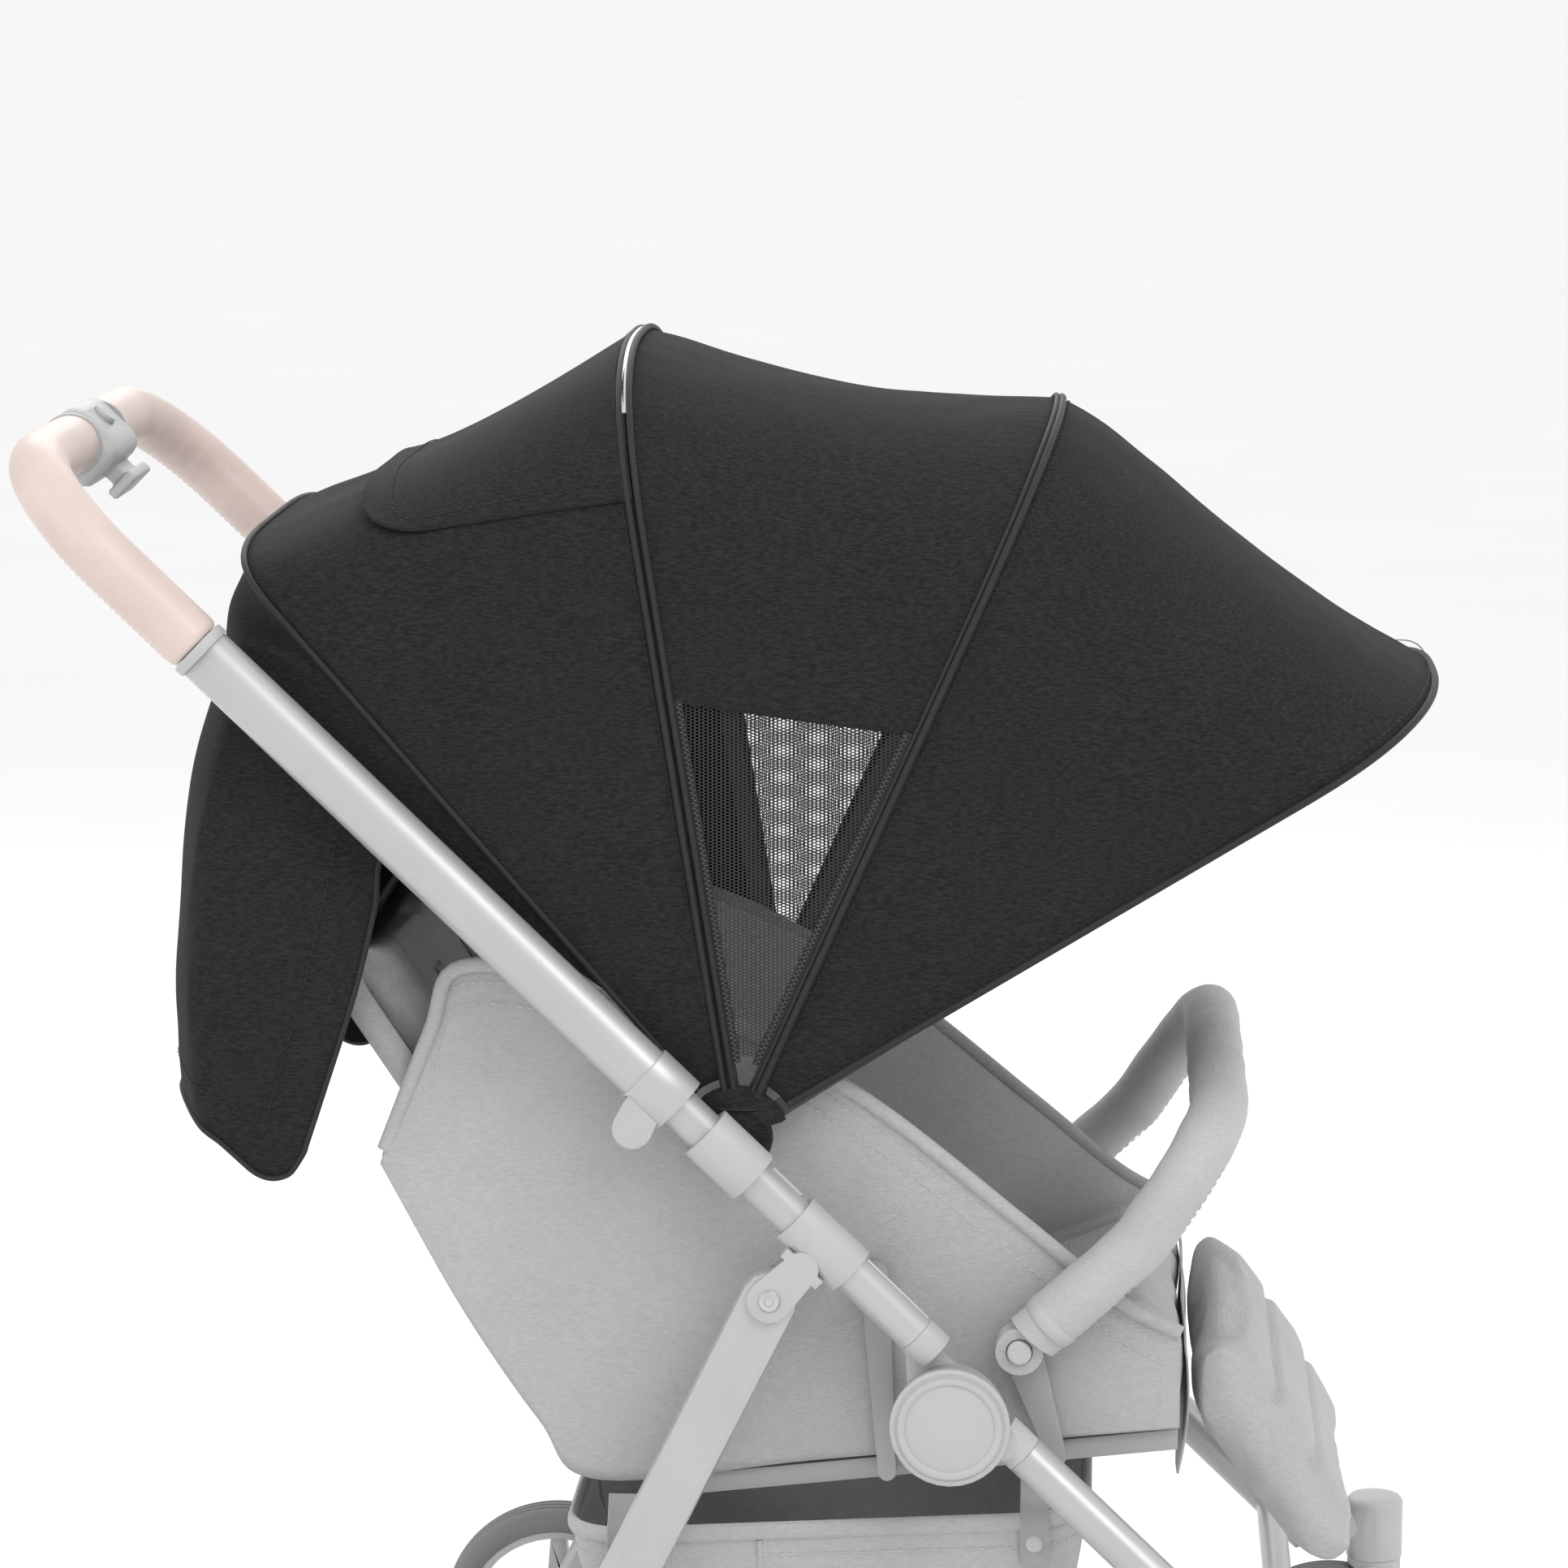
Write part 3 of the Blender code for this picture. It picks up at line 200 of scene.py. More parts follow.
def smooth_curve(points, count):
    """A Catmull-Rom curve through the points, evenly resampled."""
    knots = [Vector(point) for point in points]
    knots = [knots[0] * 2 - knots[1]] + knots + [knots[-1] * 2 - knots[-2]]
    fine = []
    steps = 12
    for index in range(1, len(knots) - 2):
        a, b, c, d = knots[index - 1:index + 3]
        for step in range(steps):
            t = step / steps
            fine.append(((b * 2) + (c - a) * t + (a * 2 - b * 5 + c * 4 - d) * t * t
                         + (b * 3 - a - c * 3 + d) * t * t * t) * 0.5)
    fine.append(knots[-2])
    return resampled(fine, count)


def smooth_grid(rows, row_count, column_count):
    """A coarse grid of points made fine and smooth both ways."""
    wide = [smooth_curve(row, column_count) for row in rows]
    columns = [smooth_curve([row[index] for row in wide], row_count) for index in range(column_count)]
    return np.array(columns).transpose(1, 0, 2)


def rounded(points, radius, steps=10):
    """The polyline with each inner corner replaced by an arc."""
    path = [points[0]]
    for before, corner, after in zip(points, points[1:], points[2:]):
        back = (before - corner).normalized()
        ahead = (after - corner).normalized()
        half = back.angle(ahead) / 2
        middle = corner + (back + ahead).normalized() * (radius / math.sin(half))
        start = corner + back * (radius / math.tan(half)) - middle
        end = corner + ahead * (radius / math.tan(half)) - middle
        axis = start.cross(end).normalized()
        for step in range(steps + 1):
            turn = Matrix.Rotation(start.angle(end) * step / steps, 3, axis)
            path.append(middle + turn @ start)
    path.append(points[-1])
    return path


def over_top(bow, half, turn, rise=0.0):
    """A bow's point at a turn about the roll axis: 0 at its right shoulder, pi at its left one."""
    degrees, shoulder, crown, power = bow
    y = -half * signed_power(math.cos(turn), 2 / power)
    reach = shoulder + (crown + rise - shoulder) * abs(math.sin(turn)) ** (2 / power)
    return PIVOT + ray(degrees) * reach + Y_AXIS * y


def bow_curve(bow, half, start):
    """Points of a bow from the right pivot over the crown to the left pivot."""
    side_steps, top_steps = 20, 90
    sides = [PIVOT + ray(bow[0]) * (start + (bow[1] - start) * step / side_steps)
             for step in range(side_steps)]
    top = [over_top(bow, half, math.pi * step / top_steps) for step in range(top_steps + 1)]
    right = [point - Y_AXIS * half for point in sides]
    return right + top + [point + Y_AXIS * half for point in reversed(sides)]


def bow_line(bow, offset, start, proud=0.0012):
    """A line beside a bow, on the outside of the cloth."""
    raised = (bow[0], bow[1] + proud, bow[2] + proud, bow[3])
    return [point + beside(bow) * offset for point in bow_curve(raised, CANOPY_HALF + proud, start)]


def beside(bow):
    """The direction square to a bow, towards the rear."""
    angle = math.radians(bow[0])
    return Vector((-math.sin(angle), 0, math.cos(angle)))


def between(first, second, share, sag=0.0, skew=1.0):
    """A bow part of the way from one bow to the next, pulled in by sag."""
    place = share ** skew
    pull = sag * 4 * place * (1 - place)
    angle, shoulder, crown, power = [a + (b - a) * share for a, b in zip(first, second)]
    return (angle, shoulder - pull, crown - pull, power)


def grid_normals(grid):
    """Unit normals of a grid of points."""
    normal = np.cross(np.gradient(grid, axis=0), np.gradient(grid, axis=1))
    length = np.linalg.norm(normal, axis=2, keepdims=True)
    return normal / np.maximum(length, 1e-12)


def wavy(grid, height, scale, seed=0.0):
    """Moves a grid in and out along its normals by smooth noise."""
    normal = grid_normals(grid)
    offset = Vector((seed, seed * 0.7, seed * 1.3))
    shift = np.zeros(grid.shape[:2])
    for row in range(grid.shape[0]):
        for column in range(grid.shape[1]):
            shift[row, column] = noise.noise(Vector(grid[row, column]) * scale + offset)
    return grid + normal * (shift * height)[:, :, None]


# ---- mesh makers


def linked(name, data):
    """A new object in the scene, with the given data."""
    obj = bpy.data.objects.new(name, data)
    bpy.context.scene.collection.objects.link(obj)
    return obj


def new_object(name, points, faces, material, smooth=True):
    mesh = bpy.data.meshes.new(name)
    mesh.from_pydata([tuple(map(float, point)) for point in points], [], faces)
    mesh.update()
    if smooth:
        mesh.shade_smooth()
    obj = linked(name, mesh)
    obj.data.materials.append(material)
    return obj


def fitted(obj, body, node_name=None):
    """Puts a piece on its body. It may stand for a CAD node, which it hides."""
    if node_name:
        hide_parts(node_name)
    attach(obj, body)
    return obj


def baked(obj):
    """Makes the object's modifiers permanent."""
    bpy.context.view_layer.update()
    graph = bpy.context.evaluated_depsgraph_get()
    mesh = bpy.data.meshes.new_from_object(obj.evaluated_get(graph))
    obj.modifiers.clear()
    old = obj.data
    obj.data = mesh
    bpy.data.meshes.remove(old)
    return obj


def tidy_normals(obj, sharp=40):
    """Faces point out, and edges sharper than the angle stay crisp."""
    bm = bmesh.new()
    bm.from_mesh(obj.data)
    bmesh.ops.recalc_face_normals(bm, faces=bm.faces)
    bm.to_mesh(obj.data)
    bm.free()
    obj.data.shade_smooth()
    obj.data.set_sharp_from_angle(angle=math.radians(sharp))
    return obj


def grid_faces(rows, columns, around=False):
    faces = []
    for row in range(rows - 1):
        for column in range(columns if around else columns - 1):
            after = (column + 1) % columns
            low, high = row * columns, (row + 1) * columns
            faces.append((low + column, low + after, high + after, high + column))
    return faces


def thickened(obj, inside, thickness):
    """Gives a one-layer surface its thickness, on the inner side."""
    obj.data.materials.append(inside)
    solid = obj.modifiers.new("thickness", "SOLIDIFY")
    solid.thickness = thickness
    solid.offset = -1.0
    solid.material_offset = 1
    solid.material_offset_rim = 0
    return baked(obj)


def cloth_sheet(name, grid, outside, inside, thickness, away_from):
    """A thin sheet from a grid of points, whose outer side looks away from a place."""
    rows, columns = grid.shape[:2]
    obj = new_object(name, grid.reshape(-1, 3), grid_faces(rows, columns), outside)
    middle = obj.data.polygons[(rows // 2) * (columns - 1) + columns // 2]
    if middle.normal.dot(middle.center - Vector(away_from)) < 0:
        obj.data.flip_normals()
    return thickened(obj, inside, thickness)


def declared(flat):
    flat = tuple(round(float(length), 3) for length in flat)


def sweep(name, path, section, material, side=None, closed=False):
    """Carries a closed section of (out, side) points along a path.

    section may be a function of the share of the path that gives the points there.
    """
    path = [Vector(point) for point in path]
    count = len(path)
    points = []
    normal = None
    for index, place in enumerate(path):
        direction = heading(path, index, closed)
        if side is not None:
            wide = Vector(side)
            normal = wide.cross(direction).normalized()
        else:
            if normal is None:
                normal = Z_AXIS if abs(direction.z) < 0.8 else Vector((1, 0, 0))
            normal = (normal - direction * normal.dot(direction)).normalized()
            wide = direction.cross(normal)
        ring = section(index / (count - 1)) if callable(section) else section
        points += [place + normal * a + wide * b for a, b in ring]
        size = len(ring)
    faces = grid_faces(count, size, around=True)
    last = (count - 1) * size
    if closed:
        faces += [(last + k, last + (k + 1) % size, (k + 1) % size, k) for k in range(size)]
    else:
        faces += [tuple(reversed(range(size))), tuple(range(last, last + size))]
    return tidy_normals(new_object(name, points, faces, material))


def turns(count):
    """Even angles round a full turn."""
    return [2 * math.pi * index / count for index in range(count)]


def oval(tall, wide=None, count=12):
    wide = tall if wide is None else wide
    return [(tall * math.cos(turn), wide * math.sin(turn)) for turn in turns(count)]


def flat_section(thickness, width, lip=0.0004):
    """A strap's section: flat, with slightly thicker selvedges."""
    half_t, half_w = thickness / 2, width / 2
    edge = half_w - 0.0012
    top = [(half_t, -edge), (half_t + lip, -half_w + 0.0006), (0.0, -half_w)]
    low = [(-half_t - lip, -half_w + 0.0006), (-half_t, -edge), (-half_t, edge)]
    last = [(-half_t - lip, half_w - 0.0006), (0.0, half_w), (half_t + lip, half_w - 0.0006), (half_t, edge)]
    return top + low + last


def millimetres(*pairs):
    """A (radius, height) profile given in millimetres."""
    return [(radius / 1000, height / 1000) for radius, height in pairs]


def turned(name, centre, axis, profile, slot, count=48, sharp=35):
    """Spins a (radius, height) profile about an axis through a point. The profile is open."""
    axis = Vector(axis).normalized()
    helper = Vector((0, 0, 1)) if abs(axis.z) < 0.9 else Vector((1, 0, 0))
    first = axis.cross(helper).normalized()
    second = axis.cross(first)
    points = []
    for radius, height in profile:
        for index in range(count):
            turn = 2 * math.pi * index / count
            spoke = first * math.cos(turn) + second * math.sin(turn)
            points.append(Vector(centre) + axis * height + spoke * radius)
    last = (len(profile) - 1) * count
    faces = grid_faces(len(profile), count, around=True)
    faces += [tuple(range(count)), tuple(range(last, last + count))]
    return tidy_normals(new_object(name, points, faces, MATERIALS[slot]), sharp)


def turned_ring(name, centre, axis, profile, slot, count=96, sharp=50):
    """Spins a closed (radius, height) profile about an axis through a point."""
    obj = turned(name, centre, axis, profile + profile[:1], slot, count, sharp)
    bm = bmesh.new()
    bm.from_mesh(obj.data)
    caps = [face for face in bm.faces if len(face.verts) == count]
    bmesh.ops.delete(bm, geom=caps, context="FACES_ONLY")
    bmesh.ops.remove_doubles(bm, verts=bm.verts, dist=1e-6)
    bm.to_mesh(obj.data)
    bm.free()
    return tidy_normals(obj, sharp)


def stitches(name, paths, material, pitch=0.0062, length=0.0040, radius=0.00045):
    """Thread stitches laid end to end along each path, as one mesh."""
    points = []
    faces = []
    rings = ((-0.5, 0.15), (-0.34, 1.0), (0.34, 1.0), (0.5, 0.15))
    size = 6
    for path in paths:
        line = resampled(path, max(2, int(path_length(path) / pitch)) * 2 + 1)
        for index in range(1, len(line) - 1, 2):
            direction = Vector(line[index + 1] - line[index - 1]).normalized()
            helper = Vector((0.3, 0.5, 0.8)) if abs(direction.z) < 0.8 else Vector((1, 0.2, 0))
            first = direction.cross(helper).normalized()
            second = direction.cross(first)
            base = len(points)
            for share, wide in rings:
                for step in range(size):
                    turn = 2 * math.pi * step / size
                    spoke = (first * math.cos(turn) + second * math.sin(turn)) * radius * wide
                    points.append(Vector(line[index]) + direction * share * length + spoke)
            faces += [tuple(base + corner for corner in face)
                      for face in grid_faces(len(rings), size, around=True)]
            faces.append(tuple(base + step for step in reversed(range(size))))
            faces.append(tuple(base + 3 * size + step for step in range(size)))
    return tidy_normals(new_object(name, points, faces, material))


def welded_copy(node_name, name, merge_flat=False):
    """A CAD piece's mesh as a new object, with its points joined."""
    bm = bmesh.new()
    bm.from_mesh(frame["nodes"][node_name].data)
    bmesh.ops.remove_doubles(bm, verts=bm.verts, dist=WELD)
    if merge_flat:
        bmesh.ops.dissolve_limit(bm, angle_limit=math.radians(0.4), verts=bm.verts, edges=bm.edges)
    else:
        bmesh.ops.recalc_face_normals(bm, faces=bm.faces)
    mesh = bpy.data.meshes.new(name)
    bm.to_mesh(mesh)
    bm.free()
    return linked(name, mesh)


def refined(node_name, width):
    """A CAD piece again, welded and with rounded edges. It stands for the plain one."""
    obj = welded_copy(node_name, node_name + "_finished", merge_flat=True)
    if width:
        bevel = obj.modifiers.new("edges", "BEVEL")
        bevel.width = width
        bevel.segments = 2
        bevel.limit_method = "ANGLE"
        bevel.angle_limit = math.radians(38)
        baked(obj)
    obj.data.materials.clear()
    obj.data.materials.append(MATERIALS[SLOT_OF[node_name]])
    tidy_normals(obj, 32)
    fitted(obj, frame["nodes"][node_name]["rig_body"], node_name)


# ---- materials


def shader_tree(name, colour, roughness, metallic=0.0, sheen=0.0, coat=0.0, gloss=0.5):
    material = bpy.data.materials.new(name)
    material.use_nodes = True
    tree = material.node_tree
    shader = tree.nodes["Principled BSDF"]
    shader.inputs["Base Color"].default_value = (*colour, 1.0)
    shader.inputs["Roughness"].default_value = roughness
    shader.inputs["Metallic"].default_value = metallic
    shader.inputs["Sheen Weight"].default_value = sheen
    shader.inputs["Sheen Roughness"].default_value = 0.6
    shader.inputs["Specular IOR Level"].default_value = gloss
    shader.inputs["Coat Weight"].default_value = coat
    shader.inputs["Coat Roughness"].default_value = 0.2
    return material, tree, shader


def node(tree, kind, inputs=None, **settings):
    made = tree.nodes.new(kind)
    for key, value in settings.items():
        setattr(made, key, value)
    for key, value in (inputs or {}).items():
        if isinstance(value, bpy.types.NodeSocket):
            tree.links.new(value, made.inputs[key])
        else:
            made.inputs[key].default_value = value
    return made


def coordinates(tree, scale=(1, 1, 1), turn=(0, 0, 0)):
    place = node(tree, "ShaderNodeTexCoord")
    inputs = {"Vector": place.outputs["Object"], "Scale": scale, "Rotation": turn}
    return node(tree, "ShaderNodeMapping", inputs).outputs["Vector"]


def grain(tree, scale, detail=2.0, stretch=(1, 1, 1)):
    inputs = {"Vector": coordinates(tree, stretch), "Scale": scale, "Detail": detail}
    return node(tree, "ShaderNodeTexNoise", inputs).outputs["Fac"]


def toned(tree, shader, factor, stops, colour, darker, lighter):
    """The colour varies between a darker and a lighter share of itself."""
    tone = ramp(tree, factor, *stops, scaled(colour, darker), scaled(colour, lighter))
    tree.links.new(tone, shader.inputs["Base Color"])


def worn(tree, shader, factor, low, high):
    """The roughness varies between two values."""
    rough = node(tree, "ShaderNodeMapRange", {"Value": factor, "To Min": low, "To Max": high})
    tree.links.new(rough.outputs["Result"], shader.inputs["Roughness"])


def ramp(tree, factor, low, high, first, last):
    """Two colours mixed by a factor, between the low and the high stop."""
    made = node(tree, "ShaderNodeValToRGB", {"Fac": factor})
    made.color_ramp.elements[0].position = low
    made.color_ramp.elements[0].color = (*first, 1.0)
    made.color_ramp.elements[1].position = high
    made.color_ramp.elements[1].color = (*last, 1.0)
    return made.outputs["Color"]


def bumped(tree, shader, height, distance, strength=1.0, under=None):
    inputs = {"Height": height, "Distance": distance, "Strength": strength}
    if under is not None:
        inputs["Normal"] = under
    bump = node(tree, "ShaderNodeBump", inputs)
    tree.links.new(bump.outputs["Normal"], shader.inputs["Normal"])
    return bump.outputs["Normal"]


def woven(tree, pitch):
    """Height of a plain weave whose threads lie a pitch apart."""
    waves = []
    for turn in ((0, 0, 0), (0, math.pi / 2, 0)):
        inputs = {"Vector": coordinates(tree, (1, 1, 1), turn), "Scale": math.pi / 10 / pitch}
        inputs["Distortion"] = 0.6
        waves.append(node(tree, "ShaderNodeTexWave", inputs, bands_direction="X").outputs["Fac"])
    return node(tree, "ShaderNodeMath", {0: waves[0], 1: waves[1]}, operation="MULTIPLY").outputs[0]


def scaled(colour, factor):
    return tuple(min(1.0, value * factor) for value in colour)


def fabric(name, colour, fleck=1.0, pitch=0.0009, sheen=0.15, roughness=0.9, gloss=0.4):
    """Woven cloth: mottled yarn colour, fine weave and soft fuzz."""
    material, tree, shader = shader_tree(name, colour, roughness, sheen=sheen, gloss=gloss)
    yarn = grain(tree, 1.0, 3.0, (210, 500, 800))
    broad = grain(tree, 14.0, 3.0)
    fine = ramp(tree, yarn, 0.36, 0.66, scaled(colour, 1 - 0.34 * fleck), scaled(colour, 1 + 0.5 * fleck))
    tint = ramp(tree, broad, 0.3, 0.7, (0.93, 0.93, 0.93), (1.0, 1.0, 1.0))
    mixed = node(tree, "ShaderNodeMix", {"Factor": 1.0}, data_type="RGBA", blend_type="MULTIPLY")
    tree.links.new(fine, mixed.inputs[6])
    tree.links.new(tint, mixed.inputs[7])
    tree.links.new(mixed.outputs[2], shader.inputs["Base Color"])
    first = bumped(tree, shader, woven(tree, pitch), pitch * 0.25, 0.8)
    bumped(tree, shader, grain(tree, 900.0), 0.0002, 0.5, first)
    return material


def leather(name, colour):
    """Smooth grained leather with fine pores and a slightly varied tone."""
    material, tree, shader = shader_tree(name, colour, 0.42, sheen=0.05, coat=0.12)
    pores = node(tree, "ShaderNodeTexVoronoi", {"Vector": coordinates(tree), "Scale": 620.0},
                 feature="DISTANCE_TO_EDGE").outputs["Distance"]
    toned(tree, shader, grain(tree, 22.0, 4.0), (0.3, 0.75), colour, 0.93, 1.03)
    worn(tree, shader, grain(tree, 160.0), 0.36, 0.52)
    first = bumped(tree, shader, pores, 0.0006, 0.35)
    bumped(tree, shader, grain(tree, 90.0, 3.0), 0.0010, 0.25, first)
    return material


def painted(name, colour, roughness=0.34, metallic=0.35):
    """Powder-coated or satin metal with a faint orange peel and rubbed patches."""
    material, tree, shader = shader_tree(name, colour, roughness, metallic, coat=0.1)
    toned(tree, shader, grain(tree, 9.0, 4.0), (0.3, 0.75), colour, 0.96, 1.03)
    worn(tree, shader, grain(tree, 35.0, 4.0), roughness * 0.8, roughness * 1.25)
    bumped(tree, shader, grain(tree, 1400.0), 0.00012, 0.4)
    return material


def moulded(name, colour, roughness=0.5, texture=1800.0, depth=0.00018):
    """Moulded plastic or foam with a fine spark texture."""
    material, tree, shader = shader_tree(name, colour, roughness)
    toned(tree, shader, grain(tree, 12.0, 3.0), (0.3, 0.7), colour, 0.95, 1.03)
    worn(tree, shader, grain(tree, 60.0, 3.0), roughness * 0.9, roughness * 1.15)
    bumped(tree, shader, grain(tree, texture, 1.0), depth, 0.6)
    return material


def webbing(name, colour):
    """Woven strap: ribs across the strap, with painted shade in their grooves and a painted highlight on
    their tops, and a soft sheen.
    """
    material, tree, shader = shader_tree(name, colour, 0.8, sheen=0.2)
    inputs = {"Vector": coordinates(tree, (1, 0.25, 1), (0, 0.6, 0)), "Scale": 190.0, "Distortion": 0.4}
    ribs = node(tree, "ShaderNodeTexWave", inputs, bands_direction="Z").outputs["Fac"]
    # Painted shade and highlight: the colour follows the ribs' height, darker in the grooves and lighter on
    # the tops.
    toned(tree, shader, ribs, (0.2, 0.8), colour, 0.85, 1.06)
    bumped(tree, shader, ribs, 0.0003, 0.7)
    return material


PALE = (0.43, 0.43, 0.43)
MATERIALS = {
    "frame_grey": painted("frame_paint", (0.47, 0.47, 0.475)),
    "joint_grey": moulded("joint_plastic", (0.45, 0.45, 0.45), 0.42),
    "leather": leather("grip_leather", (0.66, 0.53, 0.485)),
    "canopy_cloth": fabric("canopy_melange", (0.0172, 0.0172, 0.0178), 1.0, sheen=0.02, gloss=0.18),
    "canopy_mesh": moulded("window_yarn", (0.020, 0.020, 0.021), 0.7),
    "seat_cloth": fabric("seat_weave", PALE, 0.16, 0.0011),
    "bumper_foam": fabric("bumper_cover", (0.47, 0.47, 0.47), 0.12, 0.0010),
    "board": moulded("pan_plastic", (0.34, 0.34, 0.34), 0.55),
    "webbing": webbing("harness_webbing", (0.36, 0.36, 0.36)),
    "bow_plastic": moulded("bow_strip", (0.045, 0.045, 0.045), 0.45),
    "tyre": moulded("foam_tyre", (0.22, 0.22, 0.22), 0.8, 700.0, 0.0004),
    "rim": moulded("rim_plastic", (0.48, 0.48, 0.48), 0.35),
    "steel": painted("axle_steel", (0.55, 0.55, 0.56), 0.28, 1.0),
}
LINING = fabric("canopy_lining", (0.006, 0.006, 0.0065), 0.4, sheen=0.0, gloss=0.1)
PIPING = fabric("canopy_piping", (0.014, 0.014, 0.0145), 0.5, 0.0005, sheen=0.02, roughness=0.6)
THREAD = moulded("dark_thread", (0.012, 0.012, 0.012), 0.6)
PALE_THREAD = moulded("pale_thread", (0.52, 0.52, 0.52), 0.6)
CANOPY = MATERIALS["canopy_cloth"]
SEAT = MATERIALS["seat_cloth"]
REFLECTOR = painted("reflective_tape", (0.55, 0.56, 0.57), 0.3, 0.4)
ZIP = moulded("zip_teeth", (0.05, 0.05, 0.05), 0.4)
# Painted light: a lighter copy of the seat cloth for the inner faces of the seat walls, valance, back shell
# and basket, which lie in shade.
PAINTED_LIGHT_SEAT_INSIDE = fabric("seat_inside_painted_light", (0.60, 0.60, 0.60), 0.15, 0.0011)
# Painted highlight: a pale, shiny strip along the top of the main tube stands in for the light on its upper
# edge.
PAINTED_TUBE_HIGHLIGHT = painted("painted_tube_highlight", (0.72, 0.72, 0.73), 0.16, 0.9)


# ---- canopy


def fan_blend(obj, body_a, body_b, first, second):
    """Cloth between two bows, with its place baked into its mesh.
    """
    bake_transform(obj)


def relaxed(plain, seed):
    """Slack waves over a panel, and small puckers beside its two seams, which stay in place."""
    rows, columns = plain.shape[:2]
    loose = wavy(wavy(plain, 0.0030, 7.0, seed), 0.0009, 26.0, seed + 3.0)
    share = np.linspace(0, 1, rows)
    seam = np.minimum(share, 1 - share)
    ripple = np.sin(np.arange(columns) * 1.9 + math.sin(seed)) * 0.0007
    loose += grid_normals(plain) * (np.exp(-seam * 22)[:, None] * ripple)[:, :, None]
    return plain + (loose - plain) * np.clip(seam * 14, 0.12, 1)[:, None, None]


def panel(name, first, second, sag, bodies, start, seed, skew=1.0):
    """One cloth panel of the canopy. start gives the radius where a row begins, by its angle."""
    rows, columns = 34, 190
    bows = [between(first, second, row / rows, sag, skew) for row in range(rows + 1)]
    lines = [resampled(bow_curve(bow, CANOPY_HALF, start(bow[0])), columns) for bow in bows]
    grid = relaxed(np.array(lines), seed)
    obj = cloth_sheet(f"canopy_{name}_cloth", grid, CANOPY, LINING, CANOPY_CLOTH, PIVOT)
    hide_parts(f"canopy_{name}_panel")
    fan_blend(obj, *bodies, first, second)
    width = path_length(grid[:, columns // 2])
    declared((width, longest(grid)))


def longest(grid):
    return max(path_length(row) for row in grid)


def low_edge(_degrees):
    """Radius where a full panel begins, just above the pivot, at every angle."""
    return PANEL_LOW


def window_edge(degrees):
    """Radius of the straight lower edge of the middle panel, over the windows' top."""
    half = (REAR_BOW[0] - MID_BOW[0]) / 2
    centre = (REAR_BOW[0] + MID_BOW[0]) / 2
    chord = WINDOW_TOP * math.cos(math.radians(half))
    return chord / math.cos(math.radians(degrees - centre)) - 0.004


def piping(name, bow, body, offset, radius, start, proud=0.0008):
    """A corded seam that follows a bow over the canopy."""
    path = resampled(bow_line(bow, offset, start, proud), 260)
    fitted(sweep(name, path, oval(radius, radius, 10), PIPING), body)


def canopy_panels():
    panel("rear", REAR_EDGE, REAR_BOW, REAR_SAG, ("main_frame", "canopy_rear"), low_edge, 1.0)
    panel("mid", REAR_BOW, MID_BOW, MID_SAG, ("canopy_rear", "canopy_mid"), window_edge, 5.0)
    panel("front", MID_BOW, FRONT_EDGE, FRONT_SAG, ("canopy_mid", "canopy_front"), low_edge, 9.0,
          FRONT_SKEW)


def canopy_seams():
    piping("rear_bow_piping_back", REAR_BOW, "canopy_rear", 0.0032, 0.0023, 0.030)
    piping("rear_bow_piping_front", REAR_BOW, "canopy_rear", -0.0032, 0.0023, 0.030)
    piping("mid_bow_piping_back", MID_BOW, "canopy_mid", 0.0030, 0.0016, 0.030)
    piping("mid_bow_piping_front", MID_BOW, "canopy_mid", -0.0012, 0.0027, 0.030)
    piping("canopy_rear_piping", REAR_EDGE, "main_frame", -0.0006, 0.0022, PANEL_LOW)
    piping("canopy_front_binding", FRONT_EDGE, "canopy_front", 0.0010, 0.0026, PANEL_LOW, 0.0)
    for name, bow, offset, body in (("front_hem", FRONT_EDGE, 0.0095, "canopy_front"),
                                    ("mid_bow", MID_BOW, -0.0068, "canopy_mid"),
                                    ("rear_bow", REAR_BOW, 0.0072, "canopy_rear")):
        line = bow_line(bow, offset, 0.060, 0.0004)
        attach(stitches(name + "_stitches", [line], THREAD), body)


def pivot_tab(side, sign):
    """The stitched fabric end where all panels meet at a canopy pivot."""
    outline = [PIVOT + ray(degrees) * (0.0325 if degrees <= 150 else 0.0225)
               for degrees in range(20, 381, 12)]
    y = sign * (CANOPY_HALF + 0.0006)
    raised = y + sign * 0.0032
    points = [PIVOT + Y_AXIS * raised] + [point + Y_AXIS * (y + sign * 0.0024) for point in outline]
    points += [point + (point - PIVOT) * 0.08 + Y_AXIS * (y - sign * 0.0012) for point in outline]
    count = len(outline)
    pairs = [(1 + k, 1 + (k + 1) % count) for k in range(count)]
    faces = [(0, near, far) for near, far in pairs]
    faces += [(near, far, far + count, near + count) for near, far in pairs]
    faces.append(tuple(range(1 + count, 1 + 2 * count)))
    obj = tidy_normals(new_object("canopy_tab_" + side, points, faces, CANOPY), 60)
    fitted(obj, "main_frame")
    tack = resampled([at(-0.011, 0.019, raised), at(0.013, 0.019, raised)], 8)
    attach(sweep("canopy_bar_tack_" + side, tack, oval(0.0008), THREAD), "main_frame")


